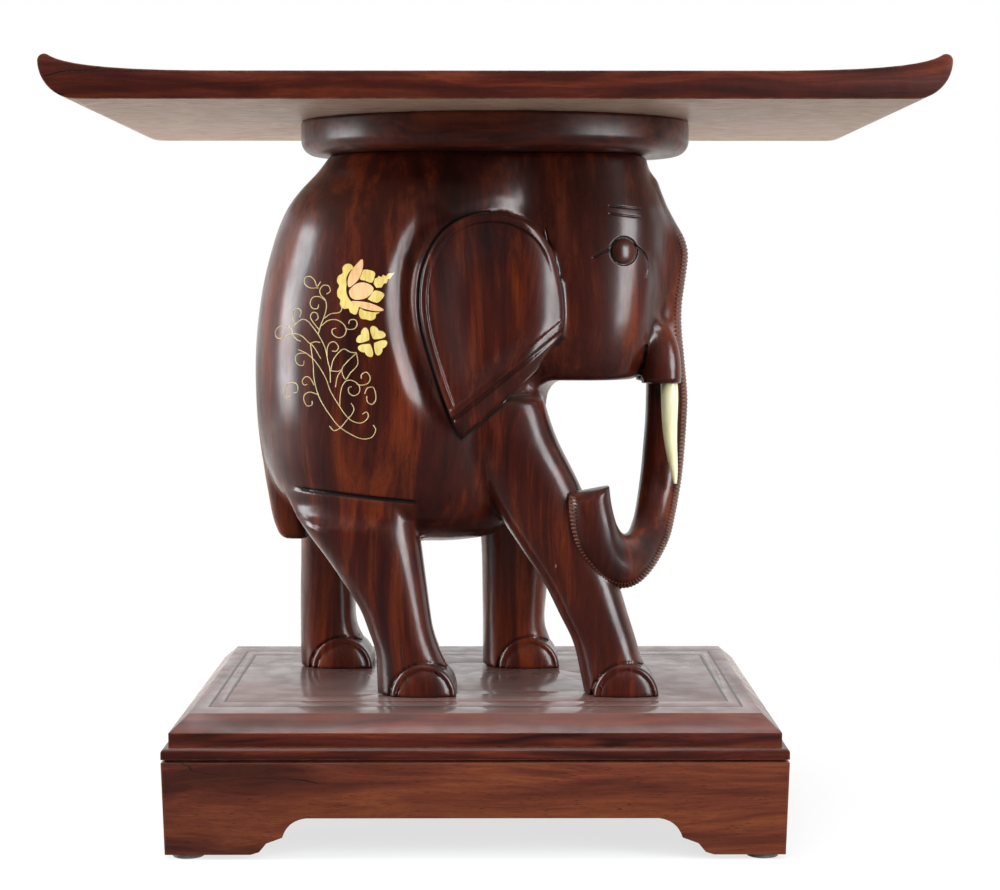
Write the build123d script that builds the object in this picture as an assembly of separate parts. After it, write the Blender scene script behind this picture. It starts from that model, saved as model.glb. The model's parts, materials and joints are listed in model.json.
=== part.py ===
from build123d import *
import os
from math import atan2, cos, degrees, pi, radians, sin, sqrt

# A stool carried on the back of a carved elephant that walks on a bracket-footed plinth.
#
# Millimetres.  +Z is up and the elephant walks towards +X.  The origin lies on the floor,
# under the middle of the seat.

# ------------------------------------------------------------------ driving sizes

# seat
SEAT_LENGTH = 502.0
SEAT_WIDTH = 304.0
SEAT_THICKNESS = 15.5
SEAT_END_RISE = 8.5          # the ends sweep up this far above the flat top
SEAT_END_SWEEP = 100.0       # length of the upward sweep at each end
SEAT_LIP = 6.0               # thickness of the turned-up lip
SEAT_ROLL_RUN = 21.0         # the underside rolls up to the tip over this length
SEAT_LIP_SWELL = 0.3         # the lip's outermost line, down from its top, in lip thicknesses
SEAT_SWEEP_PULL = (1.6, 0.5) # how far each end of the sweep runs on level: in lips, in sweeps
SEAT_SWEEP_FALL = 0.25       # and how steeply the lip's end starts, in end rises

# saddle disc
SADDLE_LENGTH = 240.0
SADDLE_WIDTH = 170.0
SADDLE_THICKNESS = 21.0
SADDLE_ROLL = 9.0            # radius round the lower rim
SADDLE_EASE = 2.0            # radius round the upper rim

# figure: the carver's drawing is squared up, 10 mm squares at this size
FIGURE_LENGTH = 270.0        # rump to trunk
FIGURE_WIDTH = 152.0         # ear to ear
FIGURE_HEIGHT = 326.5        # soles to back
DRAWN_SQUARES = (27.0, 15.2, 32.65)
FIGURE_SHIFT = 0.0           # figure along the seat, from the seat's middle

# plinth
PLINTH_LENGTH = 359.0
PLINTH_WIDTH = 264.0
PLINTH_SHIFT = -11.5         # plinth's middle along X, from the seat's middle
GLIDE_DIAMETER = 18.0
GLIDE_THICKNESS = 3.0
GLIDE_INSET = 12.0
APRON_HEIGHT = 53.7
APRON_THICKNESS = 16.0
APRON_BATTER = 1.6           # the frame leans in this much towards the floor
ARCH_HEIGHT = 21.3           # cut-out between the bracket feet
FOOT_LENGTH = 45.0           # bracket foot, along the floor
ARCH_STEP = [(0, 0), (-0.23, 0.07), (-0.43, 0.31), (-0.86, 0.47)]  # in arch heights, from the foot
ARCH_SWEEP = [(-0.86, 0.47), (-1.05, 0.8), (-1.5, 1)]              # and on up to the flat top
ARCH_SHIFT = 4.0             # the front and back arches are sawn this much off the middle
CAP_WIDTH = 34.0
CAP_HEIGHT = 8.0
CAP_GROOVE_HEIGHT = 1.7
CAP_GROOVE_DEPTH = 2.2
CAP_NOSE = 2.6
BOARD_INSET = 4.0
BOARD_THICKNESS = 17.8
BOARD_CHAMFER_DROP = 9.5
BOARD_CHAMFER_RUN = 10.5
BLOCK_LEG = 30.0
BLOCK_HEIGHT = 38.0

# border lines let into the plinth board
STRING_WIDTH = 1.2
STRING_DEPTH = 1.5
BORDER_INSET = (9.0, 20.0)   # outer line, from the top's edges along X and Y
BORDER_GAP = (7.0, 16.0)     # outer line to inner line, along X and Y

# fixings
SCREW_DIAMETER = 5.0
SCREW_HEAD = 9.6
FOOT_SCREW_LENGTH = 46.0
SADDLE_SCREW_LENGTH = 48.0
SADDLE_SCREW_SPACING = 52.0
CAP_SCREW_DIAMETER = 3.5
CAP_SCREW_HEAD = 6.6
CAP_SCREW_LENGTH = 20.0
CAP_SCREW_SPACING = 100.0
DOWEL_DIAMETER = 8.0
DOWEL_LENGTH = 22.0
DOWEL_IN_SEAT = 9.0
DOWEL_INSET = 20.0           # dowel's axis from the saddle's ends

# fits
PIN_CLEARANCE = 0.15         # radial, round screws and dowels
END_CLEARANCE = 0.5          # past the blind end of a hole
INLAY_CLEARANCE = 0.08       # round each let-in piece

# let-in pieces
INLAY_FLOOR = 9.0            # pocket floors lie this far in from the flank's widest point
TUSK_TENON_DIAMETER = 5.0
TUSK_TENON_LENGTH = 12.0

# ------------------------------------------------------------------ heights

apron_base = GLIDE_THICKNESS
cap_base = apron_base + APRON_HEIGHT
board_base = cap_base + CAP_HEIGHT
sole_level = board_base + BOARD_THICKNESS
saddle_base = sole_level + FIGURE_HEIGHT
seat_base = saddle_base + SADDLE_THICKNESS
seat_top = seat_base + SEAT_THICKNESS

# ------------------------------------------------------------------ the squared drawing

square_x = FIGURE_LENGTH / DRAWN_SQUARES[0]
square_y = FIGURE_WIDTH / DRAWN_SQUARES[1]
square_z = FIGURE_HEIGHT / DRAWN_SQUARES[2]


def at(x, y, h):
    """A point of the drawing: x forward, y to the left, h above the soles, in squares."""
    return Vector(FIGURE_SHIFT + x * square_x, y * square_y, sole_level + h * square_z)


def oval(back, front, middle, half, h):
    """One level section of the figure, between back and front, half its width each side."""
    centre = at((back + front) / 2, middle, h)
    halves = [EllipticalCenterArc((0, 0), (front - back) / 2 * square_x, half * square_y,
                                  start_angle=start, arc_size=180) for start in (0, 180)]
    return Pos(centre) * make_face(halves)


def stack(sections, side=1):
    """A solid through level sections (height, back, front, middle, half width)."""
    return loft([oval(back, front, side * middle, half, h)
                 for h, back, front, middle, half in sections])


# level sections, in squares: height, back, front, middle, half width
RUMP = [
    (8.8, -8.0, -5.2, 0, 1.7), (9.4, -10.2, -3.9, 0, 3.5), (10.6, -12.3, -2.9, 0, 5.3),
    (12.4, -13.7, -2.1, 0, 6.5), (15.0, -14.55, -1.8, 0, 6.95), (19.0, -14.85, -1.7, 0, 7.05),
    (23.0, -14.6, -1.7, 0, 6.95), (26.2, -14.0, -1.5, 0, 6.6), (28.8, -13.2, -1.2, 0, 6.0),
    (30.6, -12.0, -1.0, 0, 5.4), (32.65, -10.15, -1.0, 0, 4.5),
]
BARREL = [
    (8.9, -6.2, -1.6, 0, 1.6), (9.4, -8.0, -0.6, 0, 3.3), (10.5, -10.0, 0.8, 0, 5.0),
    (12.2, -11.4, 2.0, 0, 6.0), (15.0, -12.0, 2.6, 0, 6.3), (19.0, -12.0, 3.0, 0, 6.2),
    (24.0, -11.5, 4.6, 0, 5.9), (28.5, -10.5, 5.2, 0, 5.4), (32.65, -9.0, 6.0, 0, 4.6),
]
HEAD = [
    (18.75, 1.6, 8.5, 0, 4.0), (19.7, 0.6, 9.2, 0, 4.6), (21.2, 0.0, 9.9, 0, 5.0),
    (24.0, -0.5, 10.15, 0, 5.25), (27.0, -0.5, 10.3, 0, 5.2), (30.0, 0.0, 10.05, 0, 4.8),
    (31.5, 0.0, 9.65, 0, 4.5), (32.65, 0.0, 9.3, 0, 4.2),
]
TAIL = [
    (8.82, -13.5, -11.2, 0, 0.85), (9.4, -13.85, -11.3, 0, 1.0), (12.0, -14.3, -11.9, 0, 1.05),
    (16.0, -14.7, -12.3, 0, 1.0), (21.0, -14.8, -12.4, 0, 0.8), (25.5, -14.15, -12.4, 0, 0.6),
]
RIGHT_HIND_LEG = [
    (0.0, -7.14, -2.3, 4.95, 1.95), (0.8, -7.2, -2.27, 4.95, 2.0), (2.1, -7.3, -3.1, 4.85, 1.95),
    (3.6, -7.7, -3.65, 4.7, 2.0), (5.4, -8.5, -4.0, 4.5, 2.1), (8.0, -10.3, -4.4, 4.25, 2.35),
    (10.8, -12.3, -4.7, 3.9, 2.65), (14.0, -13.7, -5.0, 3.5, 2.9),
]
RIGHT_FORE_LEG = [
    (0.0, 5.4, 9.85, 4.95, 1.95), (0.9, 5.1, 9.9, 4.95, 2.0), (2.2, 4.9, 9.3, 4.9, 1.95),
    (3.2, 4.7, 8.6, 4.8, 1.95), (4.8, 4.1, 7.95, 4.7, 2.05), (8.4, 1.8, 6.9, 4.5, 2.2),
    (12.3, -0.85, 5.3, 4.3, 2.4), (16.0, -2.2, 3.6, 4.1, 2.4), (19.0, -2.5, 3.0, 3.9, 2.4),
    (22.0, -2.2, 3.0, 3.3, 2.2),
]
LEFT_HIND_LEG = [
    (0.0, -12.66, -7.9, 4.95, 1.95), (0.8, -12.7, -7.87, 4.95, 2.0),
    (2.2, -12.71, -8.7, 4.9, 1.95), (3.6, -12.71, -9.1, 4.85, 1.95),
    (8.0, -12.55, -8.8, 4.6, 2.1), (11.0, -12.6, -8.0, 4.2, 2.4), (14.0, -12.8, -6.6, 3.6, 2.8),
]
LEFT_FORE_LEG = [
    (0.0, -0.79, 4.13, 4.95, 1.95), (0.7, -0.8, 4.2, 4.95, 2.0), (2.1, -0.8, 3.25, 4.9, 1.95),
    (3.4, -0.8, 3.1, 4.85, 1.95), (8.0, -0.9, 3.75, 4.55, 2.1), (12.0, -1.2, 4.0, 4.3, 2.4),
    (16.0, -1.8, 3.5, 4.0, 2.4), (21.0, -1.9, 3.0, 3.3, 2.1),
]
TUSK_SHEATH = [
    (18.65, 8.95, 11.42, 2.4, 1.05), (20.4, 9.0, 11.3, 2.2, 1.1), (21.6, 9.2, 11.0, 1.9, 0.9),
]
RIGHT, LEFT = -1, 1
LEGS = [
    (RIGHT_HIND_LEG, RIGHT), (RIGHT_FORE_LEG, RIGHT), (LEFT_HIND_LEG, LEFT), (LEFT_FORE_LEG, LEFT),
]


def drawn(points, y=0):
    """A run of drawing points (x, height) at one distance from the middle plane."""
    return [at(x, y, h) for x, h in points]


# trunk, from the brow down and round to its tip, which rests against the right foreleg, in squares:
# front edge (x, height), back edge (x, height), swing to the left of the middle plane
TRUNK = [
    (9.85, 30.1, 8.5, 30.3, 0), (11.65, 27.8, 8.8, 27.2, 0), (11.98, 26.0, 8.95, 25.9, 0),
    (11.65, 22.6, 9.35, 22.6, 0), (12.0, 17.6, 9.45, 17.8, 0), (11.83, 14.2, 9.25, 14.6, 0),
    (11.4, 11.4, 8.95, 12.2, -0.5), (10.7, 9.1, 8.6, 10.6, -1.9), (9.4, 7.15, 8.25, 9.75, -3.7),
    (7.75, 6.35, 7.8, 9.45, -5.0), (6.1, 7.05, 7.4, 9.85, -5.5), (4.85, 8.65, 7.1, 10.65, -5.7),
    (4.35, 10.6, 6.98, 11.8, -5.8), (4.35, 11.85, 6.88, 12.8, -5.85),
]
TRUNK_HALF_WIDTH = 1.45
TRUNK_CROWN = 5.5            # the front is rounded by this much, in mm
TRUNK_HEEL = 2.5             # and the back by this much

# ear, in profile: from the lobe's tip up the rear edge, over the top and down the front
EAR_EDGE = [
    (-2.0, 15.43), (-3.62, 19.3), (-4.36, 22.8), (-4.32, 25.7), (-3.0, 28.0), (-0.4, 28.85),
    (2.2, 28.35), (3.65, 25.8), (4.1, 22.6), (3.95, 21.5),
]
EAR_FOLD = [(-2.45, 17.0), (3.8, 21.85)]
EAR_FACE = 7.6               # the rear rim stands this far out from the middle plane
EAR_ROOT = 4.6
EAR_TURN = 6.0               # degrees: the front edge lies closer to the cheek
EAR_RIM = 0.42               # width of the raised rim
EAR_RIM_POINTS = 24
EAR_DISH = 2.2               # the ear's face is sunk this much inside its rim, in mm

EYE = (7.65, 26.7)
HEAD_AT_EYE = 4              # the head's section at the eye's height
EYE_RADIUS = 8.0
EYE_GROOVE = 0.9

# foot
TOE_RADIUS = 17.0
TOE_BACK = 18.0              # toe's middle, back from the front of the foot
TOE_REACH = 1.5              # the toe stands out this far beyond the foot's sides
TOE_EASE = 7.0

# tusk, hanging from the sheath's flat end: height, back, front, in squares
TUSK = [
    (18.65, 10.15, 11.2), (16.5, 10.25, 11.22), (14.5, 10.5, 11.22), (13.2, 10.8, 11.25),
    (12.45, 11.0, 11.2),
]
TUSK_MIDDLE = 2.4

# lotus and small flower on each flank, (x, height) in squares
PETAL_GAP = 0.6              # dark line left between neighbouring petals, in mm
SHELL_MIDDLE = (-7.6, 24.4)
SHELL_REACH = (1.45, 1.48)   # from the shell's middle to the lobes' middles
SHELL_HOLLOW = ((-7.5, 24.5), 1.3, 1.48)
SHELL_FROM, SHELL_TO = 133.0, 278.0
SHELL_LOBES = 7
LOBE_RADIUS = 0.36
HEART_CORE = ((-7.95, 24.24), 0.7, 0.5)
HEART_LEAVES = [((-8.66, 24.5), (-7.88, 26.12), 0.36), ((-8.46, 23.6), (-6.66, 23.12), 0.26)]
OUTER_LEAVES = [((-7.22, 24.66), (-5.98, 25.33), 0.28)]
BLUNT_PETALS = [
    [(-8.02, 24.9), (-7.8, 25.52), (-7.12, 25.46), (-7.32, 24.86)],
    [(-7.46, 23.84), (-7.16, 24.3), (-6.58, 24.14), (-6.98, 23.58)],
]
FLOWER = (-7.31, 21.25)
FLOWER_RADIUS = 0.97
FLOWER_EYE = 0.19
FLOWER_PETALS = 4
FLOWER_TURN = 0.35           # of one petal's share, so that the petals make an X
FLOWER_LEAN = 0.42           # radians from a petal's middle to its lobes
FLOWER_LOBE = (1.25, 0.55)   # a lobe's middle and radius, in half flower radii

# ------------------------------------------------------------------ helpers


def box(low, high):
    """A block between two corners."""
    size = [b - a for a, b in zip(low, high)]
    middle = [(a + b) / 2 for a, b in zip(low, high)]
    return Pos(*middle) * Box(*size)


def slab(face, low, high):
    """Turn a profile drawn on the middle plane into a slab between two widths, in mm."""
    return extrude(Pos(0, low, 0) * face, amount=high - low, dir=(0, 1, 0))


def outline(*edges):
    """A flat face inside a closed run of edges."""
    return make_face(edges)


def mirrored(shape, side):
    """The shape as drawn on the left flank, or its mirror image on the right."""
    return shape if side == LEFT else mirror(shape, about=Plane.XZ)


def pin(diameter, bottom, top, x, y):
    """A plain upright pin."""
    return Pos(x, y, bottom) * Cylinder(diameter / 2, top - bottom, align=(Align.CENTER,) * 2 + (Align.MIN,))


def screw(diameter, head, length, slack=0):
    """A countersunk wood screw, head down at z = 0, or with slack the hole that takes it."""
    shank = diameter / 2 + slack
    rim = head / 2 + slack
    end = length + (END_CLEARANCE if slack else 0)
    profile = Polyline((0, 0), (rim, 0), (shank, rim - shank), (shank, end - diameter), (0, end), close=True)
    return revolve(Plane.XZ * make_face(profile), Axis.Z)


def spread(length, spacing):
    """Even places along a length, centred on it."""
    count = int(length / spacing) + 1
    return [(i - (count - 1) / 2) * spacing for i in range(count)]


# ------------------------------------------------------------------ the carved figure


def trunk_section(front, back, swing):
    """A cut through the trunk, square to its middle line: rounded front, flat cheeks, softer back."""
    front, back = at(front[0], swing, front[1]), at(back[0], swing, back[1])
    across = front - back
    half = TRUNK_HALF_WIDTH * square_y
    reach = across.length / 2
    shoulder, heel = reach - TRUNK_CROWN, TRUNK_HEEL - reach
    face = outline(ThreePointArc((shoulder, -half), (reach, 0), (shoulder, half)),
                   Line((shoulder, half), (heel, half)),
                   ThreePointArc((heel, half), (-reach, 0), (heel, -half)),
                   Line((heel, -half), (shoulder, -half)))
    return Plane((front + back) / 2, x_dir=across, z_dir=across.cross(Vector(0, 1, 0))) * face


def trunk():
    """A run of sections that hangs from the brow, curls up and swings across to the right foreleg."""
    return loft([trunk_section((fx, fh), (bx, bh), swing) for fx, fh, bx, bh, swing in TRUNK])


def ear(side):
    """A slab that stands out from the neck, dished inside its rim, with a folded lower edge."""
    points = drawn(EAR_EDGE)
    edge = Spline(points)
    outside = EAR_FACE * square_y
    body = slab(outline(edge, Line(points[-1], points[0])), EAR_ROOT * square_y, outside)

    fold_low, fold_high = drawn(EAR_FOLD)
    across = (fold_high - fold_low).cross(Vector(0, 1, 0))
    rim = []
    for i in range(EAR_RIM_POINTS + 1):
        t = i / EAR_RIM_POINTS
        point = edge @ t + Vector(0, 1, 0).cross(edge % t) * EAR_RIM * square_x
        if (point - fold_low).dot(across) < 0:
            rim.append(point)
    body -= slab(outline(Spline(rim), Line(rim[-1], rim[0])), outside - EAR_DISH, outside + EAR_DISH)
    hinge = at(EAR_EDGE[3][0], EAR_FACE, 0)
    return mirrored(body.rotate(Axis(hinge, (0, 0, 1)), -EAR_TURN), side)


def toe(sections, side):
    """The rounded toe: half a drum across the front of the foot."""
    _, _, front, middle, half = sections[0]
    centre = at(front, side * middle, 0) - Vector(TOE_BACK, 0, 0)
    reach = half * square_y + TOE_REACH
    drum = Cylinder(TOE_RADIUS, 2 * reach, rotation=(90, 0, 0))
    drum = fillet(drum.edges().filter_by(GeomType.CIRCLE), TOE_EASE)
    size = 2 * (TOE_RADIUS + reach)
    return Pos(centre) * (drum - Pos(0, 0, -size / 2) * Box(size, size, size))


def eye_groove(side):
    """The ring cut round the eye, square to the cheek."""
    x, h = EYE
    _, back, front, _, half = HEAD[HEAD_AT_EYE]
    u = (x - (back + front) / 2) / ((front - back) / 2)
    y = half * sqrt(1 - u * u)
    turn = degrees(atan2(u / (front - back) * 2, y / half ** 2))
    ring = Torus(EYE_RADIUS, EYE_GROOVE, rotation=(90, 0, 0))
    return mirrored(Pos(at(x, y, h)) * Rot(0, 0, -turn) * ring, side)


def elephant_blank():
    """Body, head, legs, tail and trunk as sections, with the ears sawn in profile."""
    figure = stack(RUMP) + stack(BARREL) + stack(HEAD) + stack(TAIL)
    for sections, side in LEGS:
        figure += stack(sections, side) + toe(sections, side)
    figure += trunk()
    for side in (RIGHT, LEFT):
        figure += ear(side)
        figure += stack(TUSK_SHEATH, side)
    return figure


# ------------------------------------------------------------------ inlay


def leaf(base, tip, bulge, grow):
    """A pointed petal between two arcs, grown all round by some mm."""
    a, b = drawn([base, tip])
    axis = (b - a).normalized()
    across = axis.cross(Vector(0, 1, 0))
    wide = bulge * square_x
    reach = grow * (b - a).length / 4 / wide
    a, b, middle = a - axis * reach, b + axis * reach, (a + b) / 2
    return outline(ThreePointArc(a, middle + across * (wide + grow), b),
                   ThreePointArc(b, middle - across * (wide + grow), a))


def disc(centre, rx, rh, grow):
    """A flat ellipse on the middle plane."""
    place = Plane(at(centre[0], 0, centre[1]), x_dir=(1, 0, 0), z_dir=(0, -1, 0))
    return place * Ellipse(rx * square_x + grow, rh * square_z + grow)


def blunt(corners, grow):
    """A four-sided petal."""
    face = outline(Polyline(*drawn(corners), close=True))
    return offset(face, grow, kind=Kind.INTERSECTION) if grow else face


def lotus_heart(grow):
    """The peach-coloured core and the two long petals tucked beside it."""
    core = disc(*HEART_CORE, grow)
    return [core] + [leaf(*petal, grow) - disc(*HEART_CORE, PETAL_GAP - grow) for petal in HEART_LEAVES]


def shell(grow):
    """The lotus's outer shell: a crescent of lobes round a hollow."""
    lobes = None
    for i in range(SHELL_LOBES):
        turn = radians(SHELL_FROM + (SHELL_TO - SHELL_FROM) * i / (SHELL_LOBES - 1))
        centre = (SHELL_MIDDLE[0] + SHELL_REACH[0] * cos(turn), SHELL_MIDDLE[1] + SHELL_REACH[1] * sin(turn))
        lobe = disc(centre, LOBE_RADIUS, LOBE_RADIUS, grow)
        lobes = lobe if lobes is None else lobes + lobe
    return lobes - disc(*SHELL_HOLLOW, -grow)


def lotus_outer(grow):
    """The yellow shell and petals, trimmed where the heart lies over them."""
    petals = [shell(grow)] + [leaf(*petal, grow) for petal in OUTER_LEAVES]
    petals += [blunt(corners, grow) for corners in BLUNT_PETALS]
    for neighbour in lotus_heart(PETAL_GAP - grow):
        petals = [petal - neighbour for petal in petals]
    return petals


def small_flower(grow):
    """Heart-shaped petals round an open eye."""
    petals = []
    out, radius = [share * FLOWER_RADIUS / 2 for share in FLOWER_LOBE]
    for i in range(FLOWER_PETALS):
        turn = 2 * pi * (i + FLOWER_TURN) / FLOWER_PETALS
        pair = None
        for lean in (-FLOWER_LEAN, FLOWER_LEAN):
            centre = (FLOWER[0] + out * cos(turn + lean), FLOWER[1] + out * sin(turn + lean))
            lobe = disc(centre, radius, radius, grow)
            pair = lobe if pair is None else pair + lobe
        petals.append(pair - disc(FLOWER, FLOWER_EYE, FLOWER_EYE, -grow))
    return petals


INLAY = {"lotus_outer_petals": lotus_outer, "lotus_heart_petals": lotus_heart, "small_flower": small_flower}
floor_width = max(section[-1] for section in RUMP) * square_y - INLAY_FLOOR


def let_in(face, side):
    """A prism through the flank, down to the pocket floors."""
    return mirrored(slab(face, floor_width, FIGURE_WIDTH), side)


def foot_places():
    """The middle of each sole, in the order of LEGS."""
    places = []
    for sections, side in LEGS:
        _, back, front, middle, _ = sections[0]
        places.append(at((back + front) / 2, side * middle, 0))
    return places


def tusk(side):
    """A tapering tusk with a round tenon that goes up into the cheek."""
    sections = [(h, back, front, TUSK_MIDDLE, (front - back) / 2) for h, back, front in reversed(TUSK)]
    body = stack(sections, side)
    h, back, front = TUSK[0]
    root = at((back + front) / 2, side * TUSK_MIDDLE, h)
    return body + pin(TUSK_TENON_DIAMETER, root.Z, root.Z + TUSK_TENON_LENGTH, root.X, root.Y)


def tusk_socket(side):
    """The blind hole for a tusk's tenon."""
    h, back, front = TUSK[0]
    root = at((back + front) / 2, side * TUSK_MIDDLE, h)
    bore = TUSK_TENON_DIAMETER + 2 * PIN_CLEARANCE
    return pin(bore, root.Z, root.Z + TUSK_TENON_LENGTH + END_CLEARANCE, root.X, root.Y)


# ------------------------------------------------------------------ fixings

foot_screw_places = [Vector(p.X, p.Y, board_base) for p in foot_places()]
saddle_screw_places = [Vector(FIGURE_SHIFT + dx, 0, seat_base)
                       for dx in (-SADDLE_SCREW_SPACING, 0, SADDLE_SCREW_SPACING)]
cap_along = spread(PLINTH_LENGTH - 2 * (APRON_THICKNESS + BLOCK_LEG), CAP_SCREW_SPACING)
cap_across = spread(PLINTH_WIDTH - 2 * (APRON_THICKNESS + BLOCK_LEG), CAP_SCREW_SPACING)
ledge = (CAP_WIDTH + APRON_THICKNESS) / 2
cap_screw_places = [Vector(PLINTH_SHIFT + x, s * (PLINTH_WIDTH / 2 - ledge), cap_base)
                    for x in cap_along for s in (-1, 1)]
cap_screw_places += [Vector(PLINTH_SHIFT + s * (PLINTH_LENGTH / 2 - ledge), y, cap_base)
                     for y in cap_across for s in (-1, 1)]
dowel_places = [Vector(s * (SADDLE_LENGTH / 2 - DOWEL_INSET), 0, 0) for s in (-1, 1)]
dowel_places += [Vector(0, s * (SADDLE_WIDTH / 2 - DOWEL_INSET), 0) for s in (-1, 1)]


def screws(places, turn, *size, slack=0):
    """The same screw, or its hole, at each place; turned over where it goes downwards."""
    return [Pos(p) * Rot(turn, 0, 0) * screw(*size, slack=slack) for p in places]


foot_screw_size = (SCREW_DIAMETER, SCREW_HEAD, FOOT_SCREW_LENGTH)
saddle_screw_size = (SCREW_DIAMETER, SCREW_HEAD, SADDLE_SCREW_LENGTH)
cap_screw_size = (CAP_SCREW_DIAMETER, CAP_SCREW_HEAD, CAP_SCREW_LENGTH)
foot_holes = screws(foot_screw_places, 0, *foot_screw_size, slack=PIN_CLEARANCE)
saddle_holes = screws(saddle_screw_places, 180, *saddle_screw_size, slack=PIN_CLEARANCE)
cap_holes = screws(cap_screw_places, 0, *cap_screw_size, slack=PIN_CLEARANCE)
dowel_bottom = seat_base - (DOWEL_LENGTH - DOWEL_IN_SEAT)
dowel_top = seat_base + DOWEL_IN_SEAT
dowels = [pin(DOWEL_DIAMETER, dowel_bottom, dowel_top, p.X, p.Y) for p in dowel_places]
dowel_holes = [pin(DOWEL_DIAMETER + 2 * PIN_CLEARANCE, dowel_bottom - END_CLEARANCE,
                   dowel_top + END_CLEARANCE, p.X, p.Y) for p in dowel_places]

# ------------------------------------------------------------------ seat


def seat_board():
    """One plank: flat in the middle, swept up at both ends to a thin rolled lip."""
    half = SEAT_LENGTH / 2
    tip = seat_top + SEAT_END_RISE
    roll = half - SEAT_ROLL_RUN
    inner = half - SEAT_LIP
    sweep_start = half - SEAT_END_SWEEP
    lip_pull, flat_pull = SEAT_SWEEP_PULL[0] * SEAT_LIP, SEAT_SWEEP_PULL[1] * SEAT_END_SWEEP
    right = [
        Line((0, seat_base), (roll, seat_base)),
        EllipticalCenterArc((roll, tip - SEAT_LIP / 2), SEAT_ROLL_RUN, tip - SEAT_LIP / 2 - seat_base,
                            start_angle=270, arc_size=90),
        ThreePointArc((half, tip - SEAT_LIP / 2), (half - SEAT_LIP * SEAT_LIP_SWELL, tip), (inner, tip)),
        Bezier((inner, tip), (inner - lip_pull, seat_top + SEAT_SWEEP_FALL * SEAT_END_RISE),
               (sweep_start + flat_pull, seat_top), (sweep_start, seat_top)),
        Line((sweep_start, seat_top), (0, seat_top)),
    ]
    halves = make_face(right + [Line((0, seat_top), (0, seat_base))])
    profile = Plane.XZ * (halves + mirror(halves, about=Plane.YZ))
    board = extrude(profile, amount=SEAT_WIDTH / 2, both=True)
    for hole in dowel_holes:
        board -= hole
    return board


def saddle_disc():
    """An oval block, rolled under at its lower rim."""
    oval_face = Pos(0, 0, saddle_base) * Ellipse(SADDLE_LENGTH / 2, SADDLE_WIDTH / 2)
    disc_body = extrude(oval_face, amount=SADDLE_THICKNESS)
    disc_body = fillet(disc_body.edges().group_by(Axis.Z)[0], SADDLE_ROLL)
    disc_body = fillet(disc_body.edges().group_by(Axis.Z)[-1], SADDLE_EASE)
    for hole in dowel_holes + saddle_holes:
        disc_body -= hole
    return disc_body


# ------------------------------------------------------------------ plinth

SIDES = ("front", "back", "left", "right")
plinth_half = (PLINTH_LENGTH / 2, PLINTH_WIDTH / 2)


def mitre(side):
    """The room that one side of the plinth may fill, between two 45 degree cuts."""
    along, across = plinth_half if side in ("front", "back") else plinth_half[::-1]
    margin = CAP_WIDTH
    reach = 2 * CAP_WIDTH
    room = Polyline((-along - margin, -across - margin), (along + margin, -across - margin),
                    (along - reach, -across + reach), (-along + reach, -across + reach), close=True)
    turn = {"front": 0, "right": 90, "back": 180, "left": 270}[side]
    prism = extrude(make_face(room), amount=board_base)
    return Pos(PLINTH_SHIFT, 0, 0) * Rot(0, 0, turn) * prism


def ring(length, width, thickness, low, high):
    """A rectangular frame of the given wall."""
    outer = box((-length / 2, -width / 2, low), (length / 2, width / 2, high))
    inner_half = (length / 2 - thickness, width / 2 - thickness)
    return outer - box((-inner_half[0], -inner_half[1], low), (*inner_half, high))


def arch(length, shift):
    """The cut-out between two bracket feet, its ends stepped in an ogee."""
    half = length / 2 - APRON_BATTER - FOOT_LENGTH
    rise = ARCH_HEIGHT
    foot = [(half, -apron_base)] + [(half + x * rise, z * rise) for x, z in ARCH_STEP]
    curve = [(half + x * rise, z * rise) for x, z in ARCH_SWEEP]
    edges = [Polyline(*foot), Spline(*curve), Line(curve[-1], (0, rise)),
             Line((0, rise), (0, -apron_base)), Line((0, -apron_base), foot[0])]
    halves = make_face(edges)
    return Pos(shift, 0, apron_base) * (Plane.XZ * (halves + mirror(halves, about=Plane.YZ)))


def apron_frame():
    """The four apron boards before they are mitred apart."""
    low = Pos(0, 0, apron_base) * Rectangle(PLINTH_LENGTH - 2 * APRON_BATTER, PLINTH_WIDTH - 2 * APRON_BATTER)
    high = Pos(0, 0, cap_base) * Rectangle(PLINTH_LENGTH, PLINTH_WIDTH)
    inner = [half - APRON_THICKNESS for half in plinth_half]
    frame = loft([low, high]) - box((-inner[0], -inner[1], 0), (*inner, cap_base))
    frame -= extrude(arch(PLINTH_LENGTH, ARCH_SHIFT), amount=PLINTH_WIDTH, both=True)
    frame -= Rot(0, 0, 90) * extrude(arch(PLINTH_WIDTH, 0), amount=PLINTH_LENGTH, both=True)
    return Pos(PLINTH_SHIFT, 0, 0) * frame


def cap_frame():
    """The moulding: a rounded nose over a shadow groove, before it is mitred apart."""
    frame = ring(PLINTH_LENGTH, PLINTH_WIDTH, CAP_WIDTH, cap_base, board_base)
    frame = fillet(frame.faces().sort_by(Axis.Z)[-1].outer_wire().edges(), CAP_NOSE)
    frame -= ring(PLINTH_LENGTH, PLINTH_WIDTH, CAP_GROOVE_DEPTH, cap_base, cap_base + CAP_GROOVE_HEIGHT)
    frame = Pos(PLINTH_SHIFT, 0, 0) * frame
    for hole in cap_holes:
        frame -= hole
    return frame


board_half = [half - BOARD_INSET for half in plinth_half]
top_half = [half - BOARD_CHAMFER_RUN for half in board_half]
border_outer = [half - inset for half, inset in zip(top_half, BORDER_INSET)]
border_inner = [half - gap for half, gap in zip(border_outer, BORDER_GAP)]


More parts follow.
